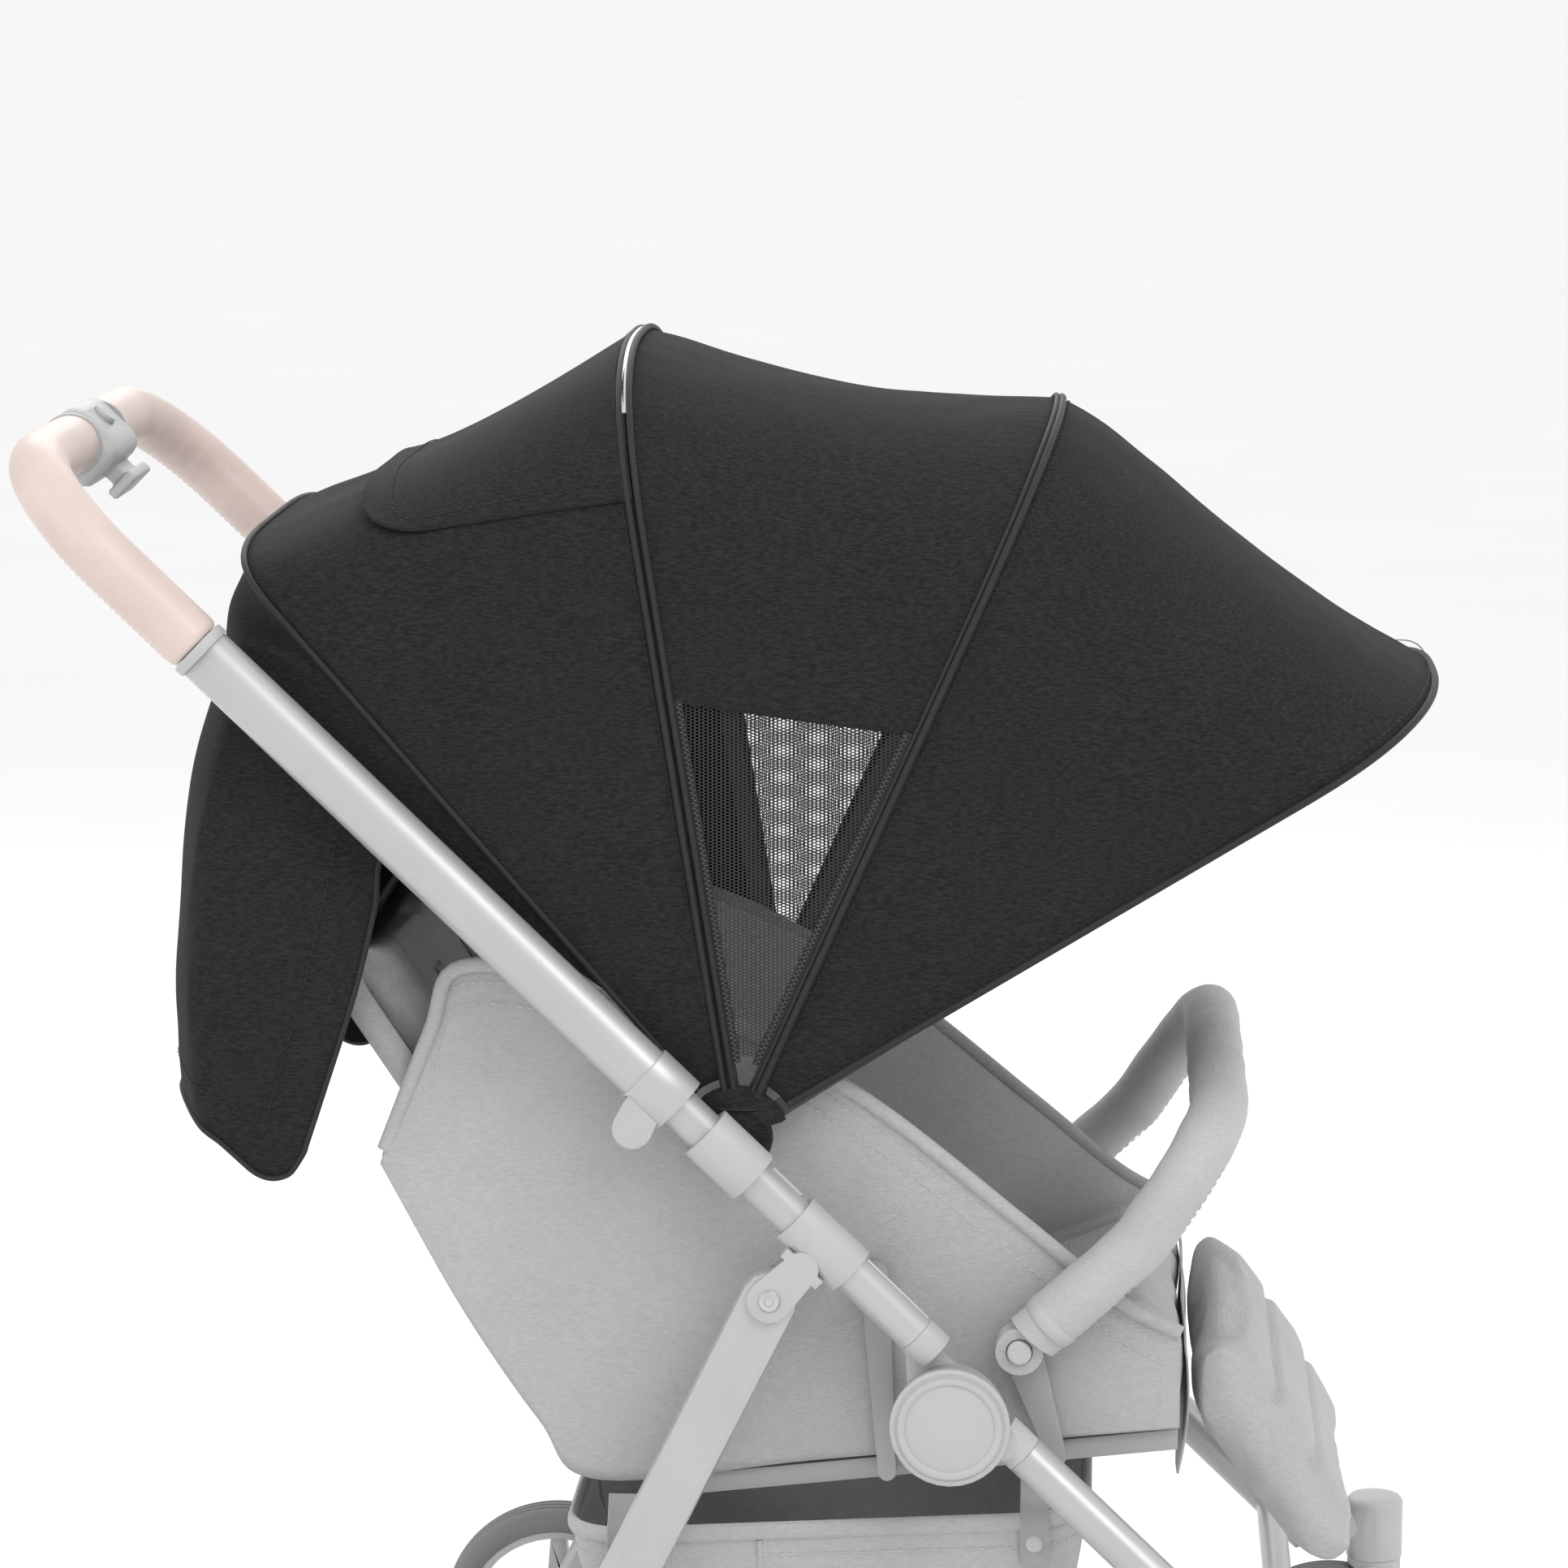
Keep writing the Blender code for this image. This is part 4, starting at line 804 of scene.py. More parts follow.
def mesh_window(side, sign):
    """An open knit of real holes between the two bows, below the middle panel."""
    reach, rise = 0.00190, 0.00110
    hole = 0.68
    limits = (REAR_BOW[0] - 0.5, MID_BOW[0] + 0.5)
    y = sign * (CANOPY_HALF - 0.0010)
    corners = [(reach, 0), (reach / 2, rise), (-reach / 2, rise), (-reach, 0),
               (-reach / 2, -rise), (reach / 2, -rise)]
    index = {}
    points = []
    faces = []

    def vertex(x, z):
        key = (round(x / reach * 8), round(z / rise * 8))
        if key not in index:
            index[key] = len(points)
            points.append((PIVOT.x + x, y, PIVOT.z + z))
        return index[key]

    for column in range(-80, 100):
        x = column * reach * 1.5
        for row in range(0, 150):
            z = (row * 2 + column % 2) * rise
            radius = math.hypot(x, z)
            degrees = math.degrees(math.atan2(z, x))
            slack = math.degrees(0.001 / max(radius, 0.01))
            inside = limits[1] - slack < degrees < limits[0] + slack
            if not inside or radius < WINDOW_LOW or radius > window_edge(degrees) + 0.006:
                continue
            ring = [vertex(x + dx, z + dz) for dx, dz in corners]
            inner = []
            for dx, dz in corners:
                inner.append(len(points))
                points.append((PIVOT.x + x + dx * hole, y, PIVOT.z + z + dz * hole))
            for step in range(6):
                after = (step + 1) % 6
                faces.append((ring[step], ring[after], inner[after], inner[step]))
    obj = new_object("window_mesh_" + side, points, faces, MATERIALS["canopy_mesh"], smooth=False)
    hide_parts("mesh_window_" + side)
    fan_blend(obj, "canopy_rear", "canopy_mid", REAR_BOW, MID_BOW)


def inner_cap(side, sign):
    """The round cover over each canopy pivot, inside, with its screw."""
    profile = millimetres((19.5, 0), (19.5, 1.4), (18, 3), (15, 3.6), (5, 3.6), (4.6, 2.4), (0.2, 2.4))
    start = PIVOT + Y_AXIS * sign * 0.1968
    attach(turned("pivot_cap_" + side, start, Y_AXIS * -sign, profile, "bow_plastic", 56, 50), "main_frame")


def bow_reflector():
    """A pale reflective tape between the two cords, over the top of the rear bow."""
    line = bow_line(REAR_BOW, 0.0002, 0.050, 0.0016)
    middle = len(line) // 2
    tape = resampled(line[middle - 26:middle + 27], 120)
    obj = sweep("bow_reflector", tape, oval(0.0006, 0.0016, 10), REFLECTOR, side=beside(REAR_BOW))
    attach(obj, "canopy_rear")


def window_zips(side, sign):
    """A tape and a row of zip teeth on each upright edge of a window."""
    y = sign * (CANOPY_HALF + 0.0002)
    pitch = 0.0017
    boxes = ((0, 1, 3, 2), (4, 6, 7, 5), (0, 4, 5, 1), (2, 3, 7, 6), (0, 2, 6, 4), (1, 5, 7, 3))
    for name, bow, body, turn in (("rear", REAR_BOW, "canopy_rear", -1), ("mid", MID_BOW, "canopy_mid", 1)):
        across = beside(bow)
        first, last = [PIVOT + ray(bow[0]) * reach + across * turn * 0.0068 + Y_AXIS * y
                       for reach in (0.050, WINDOW_TOP - 0.004)]
        tape = sweep(f"zip_tape_{name}_{side}", resampled([first, last], 24), oval(0.0005, 0.0042, 10),
                     PIPING, side=across)
        points = []
        faces = []
        direction = (last - first).normalized()
        for step in range(int((last - first).length / pitch)):
            place = first + direction * pitch * step + Y_AXIS * sign * 0.0009
            place = place + across * turn * (0.0022 if step % 2 else 0.0008)
            faces += [tuple(len(points) + corner for corner in face) for face in boxes]
            points += [place + direction * a + across * b + Y_AXIS * c
                       for a in (-0.00055, 0.00055) for b in (-0.0011, 0.0011) for c in (-0.0006, 0.0006)]
        teeth = tidy_normals(new_object(f"zip_teeth_{name}_{side}", points, faces, ZIP, smooth=False), 30)
        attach(tape, body)
        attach(teeth, body)


def cover_flap():
    """The roll-up cover that lies on the rear panel, behind the rear bow."""
    rows, columns = 40, 110
    begin = 0.31
    grid = []
    for row in range(rows + 1):
        share = row / rows
        round_off = math.sqrt(max(0.0, 1 - (1 - min(1.0, share / 0.20)) ** 2))
        edge = math.radians(27.0 - 17.0 * share + 20.0 * (1 - round_off))
        lift = 0.0022 + 0.0050 * math.exp(-share * 9)
        bow = between(REAR_EDGE, REAR_BOW, begin + (1.0 - begin) * share, REAR_SAG)
        line = []
        for step in range(columns + 1):
            turn = edge + (math.pi - 2 * edge) * step / columns
            open_edge = math.exp(-min(step, columns - step) / 7.0)
            rise = lift + 0.0022 * open_edge * (1 - share)
            line.append(over_top(bow, CANOPY_HALF + rise, turn, rise))
        grid.append(resampled(line, columns))
    grid = wavy(np.array(grid), 0.0016, 9.0, 21.0)
    obj = cloth_sheet("window_cover", grid, CANOPY, CANOPY, 0.0016, PIVOT)
    size = path_length(grid[:, columns // 2]), longest(grid)
    declared(size)
    rim = list(grid[:4:-1, 3]) + list(grid[4, 6:-6]) + list(grid[5:, -4])
    line = [Vector(point) + (Vector(point) - PIVOT).normalized() * 0.0006 for point in rim]
    for piece in (obj, stitches("window_cover_stitches", [line], THREAD)):
        fan_blend(piece, "main_frame", "canopy_rear", REAR_EDGE, REAR_BOW)


# ---- rear drop flap

FLAP_REAR = ((-0.3375, 0.3845), (-0.3455, 0.345), (-0.352, 0.300), (-0.374, 0.225), (-0.386, 0.110),
             (-0.385, 0.050), (-0.382, 0.014))
FLAP_CORNER = ((-0.3005, 0.3400), (-0.309, 0.312), (-0.318, 0.285), (-0.340, 0.220), (-0.352, 0.110),
               (-0.352, 0.040), (-0.347, -0.012))
FLAP_FRONT = ((-0.086, 0.098), (-0.186, 0.172), (-0.233, 0.188), (-0.241, 0.150), (-0.256, 0.090),
              (-0.279, 0.020), (-0.303, -0.052))
FLAP_HALF = 0.205


def flap_row(level):
    """One row of the drop flap, from the right wing's front edge round to the left's."""
    if level == 0:
        degrees, shoulder, crown, power = REAR_EDGE
        tucked = (degrees - 0.2, shoulder - 0.0015, crown - 0.0015, power)
        return bow_curve(tucked, CANOPY_HALF - 0.0012, 0.120)
    rear, corner, front = FLAP_REAR[level], FLAP_CORNER[level], FLAP_FRONT[level]
    half_row = [at(*rear, y) for y in (0.0, 0.075, 0.145)]
    half_row.append((at(*rear) + at(*corner)) / 2 + Y_AXIS * (FLAP_HALF - 0.006))
    corner, front = at(*corner, FLAP_HALF), at(*front, FLAP_HALF)
    half_row += [corner, (corner + front) / 2, front]
    return [Vector((point.x, -point.y, point.z)) for point in half_row[:0:-1]] + half_row


def flatten_with_fold(obj):
    """Gives a piece of the drop flap its own copy of its mesh."""
    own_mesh(obj)


def with_round_corners(grid, radius):
    """A hanging sheet whose outer columns are shortened, so that its two lower corners are round."""
    rounded_grid = grid.copy()
    columns = grid.shape[1]
    for column in range(columns):
        hem = grid[-1, :column + 1] if column < columns / 2 else grid[-1, column:]
        reach = path_length(hem)
        if reach < radius:
            cut = radius - math.sqrt(radius ** 2 - (radius - reach) ** 2)
            line, along = travelled(grid[:, column])
            wanted = along - cut * np.linspace(0, 1, len(line)) ** 4
            for axis in range(3):
                rounded_grid[:, column, axis] = np.interp(wanted, along, line[:, axis])
    return rounded_grid


def drop_flap():
    grid = smooth_grid([flap_row(level) for level in range(len(FLAP_REAR))], 64, 150)
    grid = with_round_corners(grid, 0.036)
    grid = wavy(wavy(grid, 0.0050, 6.5, 31.0), 0.0018, 17.0, 33.0)
    obj = cloth_sheet("drop_flap_cloth", grid, CANOPY, LINING, 0.0014, at(-0.1, 0.1))
    fitted(obj, "main_frame", "rear_drop_flap")
    flatten_with_fold(obj)
    declared((longest(grid), path_length(grid[:, 75])))
    edge = list(grid[12:, 0]) + list(grid[-1, 1:-1]) + list(grid[12:, -1])[::-1]
    inner = list(grid[14:-6, 8]) + list(grid[-5, 9:-9]) + list(grid[14:-6, -9])[::-1]
    middle = Vector(grid.reshape(-1, 3).mean(axis=0))
    outward = []
    for point in inner:
        away = Vector(point) - middle
        away.z = 0
        outward.append(Vector(point) + away.normalized() * 0.0007)
    loop = [at(-0.389, 0.178), at(-0.395, 0.150), at(-0.395, 0.120), at(-0.390, 0.106)]
    extras = [sweep("drop_flap_binding", smooth_curve(edge, 360), oval(0.0019), PIPING),
              stitches("drop_flap_stitches", [outward], THREAD),
              sweep("drop_flap_tab", smooth_curve(loop, 20), flat_section(0.0022, 0.030), PIPING, Y_AXIS)]
    for extra in extras:
        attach(extra, "main_frame")
        flatten_with_fold(extra)


# ---- handle


def seam_lines(path, out, across, offset, trim):
    """Two lines side by side along a path, pushed out by a vector, on each side of a seam."""
    lines = []
    for shift in (-offset, offset):
        line = [Vector(point) + out + across(heading(path, index)) * shift
                for index, point in enumerate(path)]
        lines.append(line[trim:-trim])
    return lines


def leather_grip(side, sign):
    """A stitched leather sleeve on half of the handle, with a collar at its end."""
    y = sign * TUBE_Y
    corners = [on_tube(SLEEVE_TOP - 0.0006, 0, y), on_tube(HANDLE_BAR_AT, 0, y),
               on_tube(HANDLE_BAR_AT, 0, sign * (HOUSING_HALF + 0.0006))]
    path = resampled(rounded(corners, HANDLE_CORNER, 14), 130)
    length = path_length(path)

    def section(share):
        ends = min(share, 1 - share) * length
        swell = GRIP_RADIUS - 0.0022 * math.exp(-ends / 0.0016)
        crease = 0.00035 * math.exp(-((share - 0.52) / 0.16) ** 2) * math.sin(share * 95)
        ring = []
        for turn in turns(40):
            seam = -0.0006 * math.exp(-((turn - math.pi * 1.5) / 0.05) ** 2)
            radius = swell + crease * max(0.0, math.cos(turn) * sign) + seam
            ring.append((radius * math.cos(turn), radius * math.sin(turn)))
        return ring

    obj = sweep("grip_leather_" + side, path, section, MATERIALS["leather"], side=ACROSS)
    fitted(obj, "push_handle", "leather_grip_" + side)
    lines = seam_lines(path, ACROSS * -(GRIP_RADIUS * 0.994),
                       lambda ahead: ACROSS.cross(ahead).normalized(), 0.0022, 3)
    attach(stitches("grip_stitches_" + side, lines, PALE_THREAD, 0.0052, 0.0034), "push_handle")
    profile = millimetres((15, -3.5), (20.3, -3.5), (20.8, -2), (20.8, 2), (20.3, 3.5), (15, 3.5))
    collar = turned_ring("grip_collar_" + side, on_tube(SLEEVE_TOP + 0.004, 0, y), ALONG, profile,
                         "joint_grey", 64)
    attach(collar, "push_handle")


def handle_details():
    ring = millimetres((15.2, -1.8), (21.2, -1.8), (21.6, 0), (21.2, 1.8), (15.2, 1.8))
    for side, sign in SIDES:
        leather_grip(side, sign)
        place = on_tube(HANDLE_BAR_AT, 0, sign * (HOUSING_HALF + 0.0012))
        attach(turned_ring("housing_ring_" + side, place, Y_AXIS, ring, "joint_grey", 64), "push_handle")
    parting = [on_tube(HANDLE_BAR_AT - 0.0202, 0.0, y) for y in (-0.034, 0.034)]
    seam = sweep("housing_seam", resampled(parting, 12), oval(0.0005), MATERIALS["board"])
    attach(seam, "push_handle")
    cap = millimetres((7.8, 0), (7.6, 0.9), (6.8, 1.4), (3.5, 1.1), (0.2, 1))
    button = turned("lock_button_cap", on_tube(HANDLE_BAR_AT, 0.0231), ACROSS, cap, "rim", 40, 60)
    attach(button, "lock_button")


# ---- padded pieces


def pushed(obj, amount):
    """Moves each vertex along its normal by amount, a number or a function of its place."""
    vertices = obj.data.vertices
    places = np.array([vertex.co for vertex in vertices])
    normals = np.array([vertex.normal for vertex in vertices])
    if callable(amount):
        amount = np.array([amount(Vector(place)) for place in places])[:, None]
    vertices.foreach_set("co", (places + normals * amount).astype(np.float32).ravel())
    obj.data.update()
    return obj


def remeshed(obj, voxel):
    modifier = obj.modifiers.new("remesh", "REMESH")
    modifier.mode = "VOXEL"
    modifier.voxel_size = voxel
    return baked(obj)


def inflated(obj, pressure, cap):
    """Blows the piece up as sewn cloth, with no point moving further than the cap."""
    rest = np.array([vertex.co for vertex in obj.data.vertices], float)
    cloth = obj.modifiers.new("cloth", "CLOTH")
    settings = cloth.settings
    settings.use_pressure = True
    settings.uniform_pressure_force = pressure
    settings.effector_weights.gravity = 0.0
    settings.tension_stiffness = 15
    settings.compression_stiffness = 15
    settings.bending_stiffness = 0.8
    settings.shrink_min = -0.02
    scene = bpy.context.scene
    for step in range(1, 21):
        scene.frame_set(step)
    baked(obj)
    scene.frame_set(1)
    moved = np.array([vertex.co for vertex in obj.data.vertices], float)
    shift = moved - rest
    length = np.linalg.norm(shift, axis=1, keepdims=True)
    shift *= np.minimum(1.0, cap / np.maximum(length, 1e-9))
    obj.data.vertices.foreach_set("co", (rest + shift).astype(np.float32).ravel())
    obj.data.update()
    return obj


def stuffed(name, node_name, channels, body):
    """A sewn pad: the CAD solid as inflated cloth, then quilted along its channels.

    channels is a function from a point to its distance from the nearest seam.
    """
    inset, voxel, pressure, cap = 0.004, 0.0055, 4.0, 0.008
    obj = pushed(remeshed(welded_copy(node_name, name), voxel), -inset)
    inflated(obj, pressure, cap)
    smooth = obj.modifiers.new("soften", "SMOOTH")
    smooth.iterations = 4
    smooth.factor = 0.5
    finer = obj.modifiers.new("finer", "SUBSURF")
    finer.levels = 1
    finer.render_levels = 1
    baked(obj)
    pushed(obj, lambda place: -0.0052 * math.exp(-(channels(place) / 0.0050) ** 2)
           - 0.0008 * noise.noise(place * 38.0))
    obj.data.materials.clear()
    obj.data.materials.append(SEAT)
    obj.data.shade_smooth()
    fitted(obj, body, node_name)


def back_frame(point):
    """A point as (length up the backrest, depth in front of it, y)."""
    offset = point - BACK_HINGE
    return offset.dot(BACK_UP), offset.dot(BACK_FRONT), point.y


def on_back(length, depth, y):
    """A point on the backrest: length up it, depth in front of it, y."""
    return BACK_HINGE + BACK_UP * length + BACK_FRONT * depth + Y_AXIS * y


def cushion_channels(point):
    lines = [abs(abs(point.y) - 0.108), abs(point.x - (PIVOT.x + 0.060)), abs(point.x - (PIVOT.x + 0.175))]
    inner = lines[0] if abs(point.y) > 0.100 else min(lines)
    return inner if point.z > PIVOT.z - 0.215 else 1.0


def back_channels(point):
    length, depth, y = back_frame(point)
    side = abs(abs(y) - 0.112)
    across = min(abs(length - 0.165), abs(length - 0.285))
    inner = side if abs(y) > 0.104 else min(side, across)
    return inner if depth > 0.014 else 1.0


def leg_rest_channels(point):
    along = (point - at(0.328, -0.150)).dot(ray(-57.8))
    outer = (point - at(0.328, -0.150)).dot(ray(32.2)) > -0.016
    return min(abs(along - 0.058), abs(along - 0.112)) if abs(point.y) < 0.137 and outer else 1.0


def pads():
    stuffed("cushion_cloth", "seat_cushion", cushion_channels, "main_frame")
    stuffed("back_cloth", "backrest_pad", back_channels, "backrest")
    stuffed("leg_rest_cloth", "leg_rest_pad", leg_rest_channels, "leg_rest")


# ---- seat


def seat_side(side, sign):
    """The cloth side wall of the seat, with a padded strip along its top."""
    lower = [at(*p) for p in ((-0.243, -0.030), (-0.190, -0.128), (-0.137, -0.208), (-0.098, -0.249),
                              (0.050, -0.233), (0.180, -0.218), (0.297, -0.205))]
    upper = [at(*p) for p in ((-0.240, -0.020), (-0.208, 0.062), (-0.188, 0.106), (-0.110, 0.100),
                              (-0.030, 0.082), (0.083, 0.020), (0.190, -0.064), (0.256, -0.118),
                              (0.297, -0.139))]
    low, high = smooth_curve(lower, 120), smooth_curve(upper, 120)

    def bulge(share, x):
        """How far the wall stands out. It lies flat beside the bumper's arm."""
        return 0.0042 * math.sin(math.pi * share) ** 0.8 * np.clip((PIVOT.x + 0.150 - x) / 0.10, 0, 1)

    rows = []
    for share in np.linspace(0, 1, 41):
        line = low + (high - low) * share
        line[:, 1] = sign * (WALL_Y + bulge(share, line[:, 0]))
        rows.append(line)
    grid = wavy(np.array(rows), 0.0030, 9.0, 41.0 + sign)
    # The inner face takes the lighter seat cloth, painted light on the shaded inside of the seat.
    obj = cloth_sheet("seat_wall_" + side, grid, SEAT, PAINTED_LIGHT_SEAT_INSIDE, 0.0016, at(0.0, -0.1))
    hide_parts("seat_side_" + side)
    declared((path_length(high), 0.300))
    edge = [Vector((p[0], sign * (WALL_Y + 0.0015), p[2])) for p in high]
    strip = sweep("seat_wall_binding_" + side, edge, oval(0.0052, 0.0042, 14), SEAT)
    lines = []
    for drop in (0.012, 0.026):
        line = []
        for index in range(14, 118):
            share = 1 - drop / max(0.03, float(np.linalg.norm(high[index] - low[index])))
            x, _, z = low[index] + (high[index] - low[index]) * share
            line.append((x, sign * (WALL_Y + 0.0014 + bulge(share, x)), z))
        lines.append(line)
    for piece in (obj, strip, stitches("seat_wall_stitches_" + side, lines, PALE_THREAD)):
        seat_blend(piece)


def front_valance():
    """The cloth that hangs from the seat's front edge, behind the leg rest."""
    half = 0.160
    rows = []
    for share in np.linspace(0, 1, 25):
        x = 0.3015 + 0.0030 * math.sin(math.pi * share) - 0.004 * share ** 2
        z = -0.158 - 0.086 * share
        rows.append([at(x, z + 0.006 * (1 - (y / half) ** 2) * share, y)
                     for y in np.linspace(-half, half, 60)])
    grid = np.array(rows)
    grid[1:] = wavy(grid, 0.0030, 16.0, 61.0)[1:]
    # The inner face takes the lighter seat cloth, painted light where the valance is in shade.
    obj = cloth_sheet("front_valance", grid, SEAT, PAINTED_LIGHT_SEAT_INSIDE, 0.0014, at(0.2, -0.2))
    fitted(obj, "main_frame")
    hem = [Vector(point) + Vector((0.0009, 0, 0.010)) for point in grid[-1][2:-2]]
    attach(stitches("front_valance_stitches", [hem], PALE_THREAD), "main_frame")


def seat_blend(obj):
    """Seat cloth, with its place baked into its mesh."""
    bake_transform(obj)


def back_shell():
    """The cloth cover behind the backrest board, wrapped over its sides and top."""
    profile = []
    for step in range(33):
        turn = math.pi * step / 32
        depth = 0.010 - 0.028 * abs(math.sin(turn)) ** 0.35
        profile.append((-0.1715 * signed_power(math.cos(turn), 0.35), depth))
    rows = []
    for step in range(31):
        share = step / 30
        length = 0.020 + (BACK_LENGTH + 0.004 - 0.020) * share
        tuck = 0.024 * max(0.0, (share - 0.93) / 0.07) ** 2
        narrow = 1 - 0.05 * max(0.0, (share - 0.9) / 0.1) ** 2
        rows.append([on_back(length, min(0.012, depth + tuck), y * narrow) for y, depth in profile])
    grid = wavy(np.array(rows), 0.0024, 10.0, 51.0)
    # The inner face takes the lighter seat cloth, painted light on the shaded side.
    obj = cloth_sheet("back_shell", grid, SEAT, PAINTED_LIGHT_SEAT_INSIDE, 0.0014, on_back(0.2, 0.08, 0))
    fitted(obj, "backrest")
    edge = [on_back(BACK_LENGTH + 0.0045, 0.004, y) for y in np.linspace(-0.160, 0.160, 30)]
    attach(sweep("back_top_piping", edge, oval(0.0026), SEAT), "backrest")
    pocket = [on_back(0.250, -0.0200, y) for y in np.linspace(-0.150, 0.150, 30)]
    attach(stitches("back_shell_stitches", [pocket], PALE_THREAD), "backrest")


def strap(name, points, steps, section=None, side=Y_AXIS):
    """A length of webbing along a smooth curve."""
    section = section or flat_section(0.0016, 0.025)
    obj = sweep(name, smooth_curve(points, steps), section, MATERIALS["webbing"], side=side)
    return obj


def harness():
    """Shoulder straps with pads, waist straps, crotch strap and buckle details."""
    low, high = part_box("harness_buckle")
    buckle = (low + high) / 2
    for side, sign in SIDES:
        y = sign * 0.060
        shoulder = [on_back(length, depth, y) for length, depth in
                    ((0.345, 0.020), (0.345, 0.032), (0.325, 0.0355), (0.200, 0.0360))]
        meeting = on_back(0.120, 0.0370, sign * 0.061)
        fitted(strap("shoulder_webbing_" + side, shoulder + [meeting], 70), "backrest",
               "shoulder_strap_" + side)
        pad_line = smooth_curve([on_back(length, 0.0385, y) for length in (0.315, 0.25, 0.18)], 50)
        pad = sweep("shoulder_pad_" + side, pad_line, pad_section(0.0085, 0.046), SEAT, side=Y_AXIS)
        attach(pad, "backrest")
        lap = [meeting, on_back(0.060, 0.0420, y), at(-0.010, -0.168, sign * 0.055),
               at(0.045, -0.150, sign * 0.045), buckle + Vector((-0.008, sign * 0.029 - buckle.y, -0.002))]
        seat_blend(strap("lap_webbing_" + side, lap, 80))
        waist = [at(-0.030, -0.168, sign * 0.150), at(0.010, -0.166, sign * 0.120),
                 at(0.055, -0.155, sign * 0.080),
                 buckle + Vector((-0.004, sign * 0.031 - buckle.y, -0.008))]
        belt = strap("waist_webbing_" + side, waist, 60, oval(0.0009, 0.0125, 14), (0.35, 0.0, 0.94))
        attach(belt, "main_frame")
    crotch = [at(0.150, -0.186), at(0.130, -0.172), at(0.121, -0.160),
              buckle + Vector((0.002, -buckle.y, -0.018))]
    fitted(strap("crotch_webbing", crotch, 30, flat_section(0.0020, 0.036)), "main_frame", "crotch_strap")
    profile = millimetres((13.5, 0), (13, 1.4), (10.5, 2), (0.2, 1.4))
    face = buckle + Vector((0.0082, 0, 0.0035))
    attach(turned("buckle_button", face, (0.937, 0, 0.35), profile, "rim", 48, 60), "main_frame")


def pad_section(thickness, width):
    """A soft pillow-like section."""
    return [(thickness / 2 * signed_power(math.cos(turn), 0.8), width / 2 * signed_power(math.sin(turn), 0.6))
            for turn in turns(28)]


# ---- bumper


def bumper_cover():
    """The padded sleeve over the bumper's tube, with a zip seam below and end cuffs."""
    knee, bend = at(0.268, -0.072), at(0.3215, 0.010)
    rise = (knee - BUMPER_PIVOT).normalized()
    arm = Y_AXIS * BUMPER_ARM_Y
    half = [BUMPER_PIVOT + rise * 0.026, knee, bend]
    corners = [point - arm for point in half] + [point + arm for point in reversed(half)]
    path = resampled(rounded(corners, 0.060, 16), 220)
    length = path_length(path)
    normal = (bend - BUMPER_PIVOT).cross(Y_AXIS).normalized()

    def section(share):
        ends = min(share, 1 - share) * length
        soft = 0.00035 * math.sin(share * 60) + 0.0002 * math.sin(share * 143)
        radius = 0.0197 + soft - 0.0022 * math.exp(-ends / 0.003)
        ring = []
        for turn in turns(32):
            seamed = radius - 0.0010 * math.exp(-((turn - math.pi * 1.5) / 0.09) ** 2)
            ring.append((seamed * math.cos(turn), seamed * math.sin(turn)))
        return ring

    obj = sweep("bumper_sleeve", path, section, MATERIALS["bumper_foam"], side=normal)
    fitted(obj, "bumper")
    lines = seam_lines(path, normal * -0.0196, normal.cross, 0.0030, 2)
    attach(stitches("bumper_stitches", lines, PALE_THREAD), "bumper")
    cuff = millimetres((15, -4), (19.2, -4), (20.1, -2), (20.4, 4), (19.6, 6), (15, 6))
    button = millimetres((8.2, 0), (8, 0.8), (7, 1.2), (4, 0.8), (0.2, 0.7))
    for side, sign in SIDES:
        start = BUMPER_PIVOT + rise * 0.0275 + arm * sign
        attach(turned_ring("bumper_cuff_" + side, start, rise, cuff, "joint_grey", 64), "bumper")
        face = BUMPER_PIVOT + Y_AXIS * sign * 0.2152
        cap = turned("bumper_button_cap_" + side, face, Y_AXIS * sign, button, "rim", 40, 60)
        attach(cap, "bumper_button_" + side)


# ---- basket

BASKET_FLOOR = -0.425


def flatten_basket(obj):
    """Gives a piece of the basket its own copy of its mesh."""
    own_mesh(obj)


def basket_rim(x):
    """Height of the basket's rim, which rises a little to the front."""
    return -0.288 + 0.0567 * (x + 0.118)


def basket_ring(depth):
    """A level outline of the basket, from rim (0) to floor (1), with rounded corners."""
    back, front = -0.118 + 0.033 * depth, 0.235 - 0.030 * depth
    half = 0.192 - 0.027 * depth
    sag = 0.005 * math.sin(math.pi * min(1.0, depth * 1.2))
    radius, count = 0.045, 160
    outline = []
    for index, (x, y) in enumerate([(back, -half), (front, -half), (front, half), (back, half)]):
        cx = x + radius * (1 if index in (0, 3) else -1)
        cy = y + radius * (1 if index in (0, 1) else -1)
        for step in range(9):
            turn = math.pi + math.pi / 2 * index + math.pi / 2 * step / 8
            outline.append((cx + radius * math.cos(turn), cy + radius * math.sin(turn), 0))
    ring = []
    for x, y, _ in resampled(outline + outline[:1], count + 1)[:-1]:
        rim = basket_rim(x)
        out = Vector((x - 0.06, y, 0)).normalized() * sag
        ring.append(at(x + out.x, rim + (BASKET_FLOOR - rim) * depth, y + out.y))
    return ring


